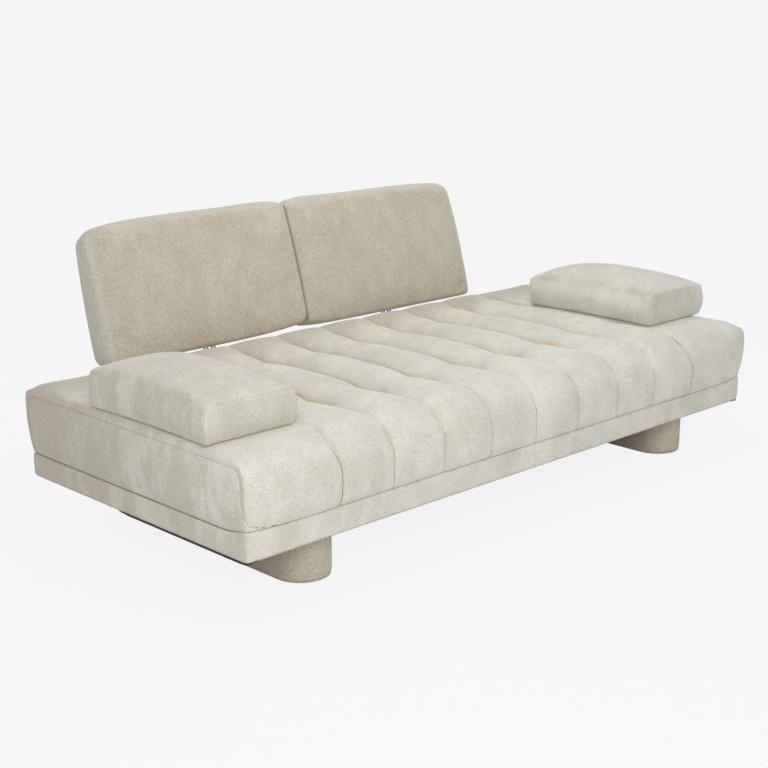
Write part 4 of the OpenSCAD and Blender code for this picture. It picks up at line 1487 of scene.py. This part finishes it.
@dataclass
class Fittings:
    """Frame, feet cores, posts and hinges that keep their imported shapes."""

    finishes: Finishes

    def finish_of(self, node: str) -> bpy.types.Material:
        """Chooses a node's finish by the start of its name.

        Args:
            node: The node's name.

        Returns:
            Its material, which is timber for the nodes of the frame and the boards.
        """
        f = self.finishes
        for names, finish in (
            (("posts", "socket_bolts"), f.chrome),
            (("foot_glides", "friction_washers"), f.plastic),
            (("dust_cover",), f.cloth),
            (("socket", "crosshead", "hinge_pin", "saddle", "foot_bolts"), f.zinc),
        ):
            if node.startswith(names):
                return finish
        return f.timber

    def build(self) -> None:
        """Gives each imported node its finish."""
        for node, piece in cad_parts.items():
            for slot in piece.material_slots:
                slot.material = self.finish_of(node)
            LOG.info("%s: %s", node, self.finish_of(node).name)


@dataclass
class Studio:
    """Pale floor, soft light and the camera at the photograph's place."""

    mid_y: float
    backdrop: float = 0.934
    soft: float = 0.58
    even: float = 0.94
    aim: Triple = (0.0, -0.1, 0.3)
    eye: Triple = (-3.2277, -3.1607, 1.5134)
    lens: float = 68.68
    dip: float = 14.93
    turn: float = -44.31

    def floor(self) -> None:
        """Lays a pale floor that shows evenly and keeps a little of the shadow."""
        bm = bmesh.new()
        bmesh.ops.create_grid(bm, x_segments=8, y_segments=8, size=500)
        b = Bench("pale_floor")
        tone = b.blend(b.noise(b.place(), 0.8, 2.0), tint("f4f4f4"), tint("f6f6f6"))
        diffuse = b.add("ShaderNodeBsdfDiffuse", {}, {"Color": tone})
        glow = b.add("ShaderNodeEmission", {}, {"Color": WHITE, "Strength": self.backdrop})
        path = b.add("ShaderNodeLightPath", {}, {}, "Is Camera Ray")
        seen = path.most(path.other("Is Glossy Ray")).most(path.other("Is Transmission Ray"))
        mixed = {0: seen * self.even, 1: diffuse, 2: glow}
        floor = stand("studio_floor", bm, b.close(b.add("ShaderNodeMixShader", {}, mixed)))

    def sky(self) -> None:
        """Fills the room with even light, and shows the backdrop to the camera."""
        b = Bench("studio", world=True)
        soft, plain = (b.add("ShaderNodeBackground", {}, {"Color": WHITE, "Strength": strength})
                       for strength in (self.soft, self.backdrop))
        seen = b.add("ShaderNodeLightPath", {}, {}, "Is Camera Ray")
        mix = b.add("ShaderNodeMixShader", {}, {0: seen, 1: soft, 2: plain})
        bpy.context.scene.world = b.close(mix)

    def lamp(self, name: str, place: Triple, size: float, power: float) -> None:
        """Hangs one soft box that points at the sofa.

        Args:
            name: Its name.
            place: Where it hangs.
            size: Side of its square.
            power: Its power in watts.
        """
        light = bpy.data.lights.new(name, "AREA")
        light.shape, light.size, light.energy = "SQUARE", size, power
        lamp = bpy.data.objects.new(name, light)
        lamp.location = place
        lamp.rotation_euler = (Vector(self.aim) - Vector(place)).to_track_quat("-Z", "Y").to_euler()
        bpy.context.scene.collection.objects.link(lamp)

    def camera(self) -> None:
        """Sets the camera where the photograph was taken from."""
        data = bpy.data.cameras.new("studio_camera")
        data.lens, data.sensor_width, data.clip_end = self.lens, 36.0, 2000.0
        eye = bpy.data.objects.new("studio_camera", data)
        eye.location = Vector(self.eye) + Vector((0, self.mid_y, 0))
        eye.rotation_euler = (math.radians(90 - self.dip), 0.0, math.radians(self.turn))
        bpy.context.scene.collection.objects.link(eye)
        bpy.context.scene.camera = eye

    def build(self) -> None:
        """Builds the studio."""
        self.floor()
        self.sky()
        self.lamp("front_box", (-2.3, -2.8, 2.0), 1.6, 44)
        self.lamp("top_box", (0.5, 0.0, 2.9), 1.4, 18)
        self.camera()
        bpy.context.scene.view_settings.view_transform = "Standard"


# The last two values of each lie are painted shade over the cushion and painted light on its sides.
LIES = {
    Side.LEFT: Lie(shift=(0.0, 0.006), dome=0.022, inner_rise=-0.006, outer_rise=0.0,
                   rear_radius=0.040, spread=0.0, painted_shading=0.25, side_painted_shading=0.0),
    Side.RIGHT: Lie(shift=(0.006, -0.007), dome=0.030, inner_rise=0.007, outer_rise=0.008,
                    rear_radius=0.010, spread=0.010, painted_shading=0.05, side_painted_shading=-0.35),
}
FORMS = {
    Side.LEFT: PanelForm(inner_top=0.012, inner_foot=0.030, outer_top=0.046, outer_fall=0.036,
                         inner_fall=0.022, rise=0.018, power=3, swell=0.007),
    Side.RIGHT: PanelForm(inner_top=0.026, inner_foot=0.010, outer_top=0.040, outer_fall=0.026,
                          inner_fall=0.018, rise=0.010, power=6, swell=0.011),
}


def main() -> None:
    """Builds the sofa's looks and its studio."""
    logging.basicConfig(level=logging.INFO, format="%(message)s")
    low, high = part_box("band_cover")
    mid_y = (low.y + high.y) / 2
    finishes = Finishes()
    Fittings(finishes).build()
    SeatPad(finishes, mid_y).build()
    Band(finishes, mid_y).build()
    for side in Side:
        Foot(finishes, side).build()
        ArmCushion(finishes, side, LIES[side]).build()
        BackPanel(finishes, side, FORMS[side], mid_y).build()
    Studio(mid_y).build()


if __name__ == "__main__":
    main()
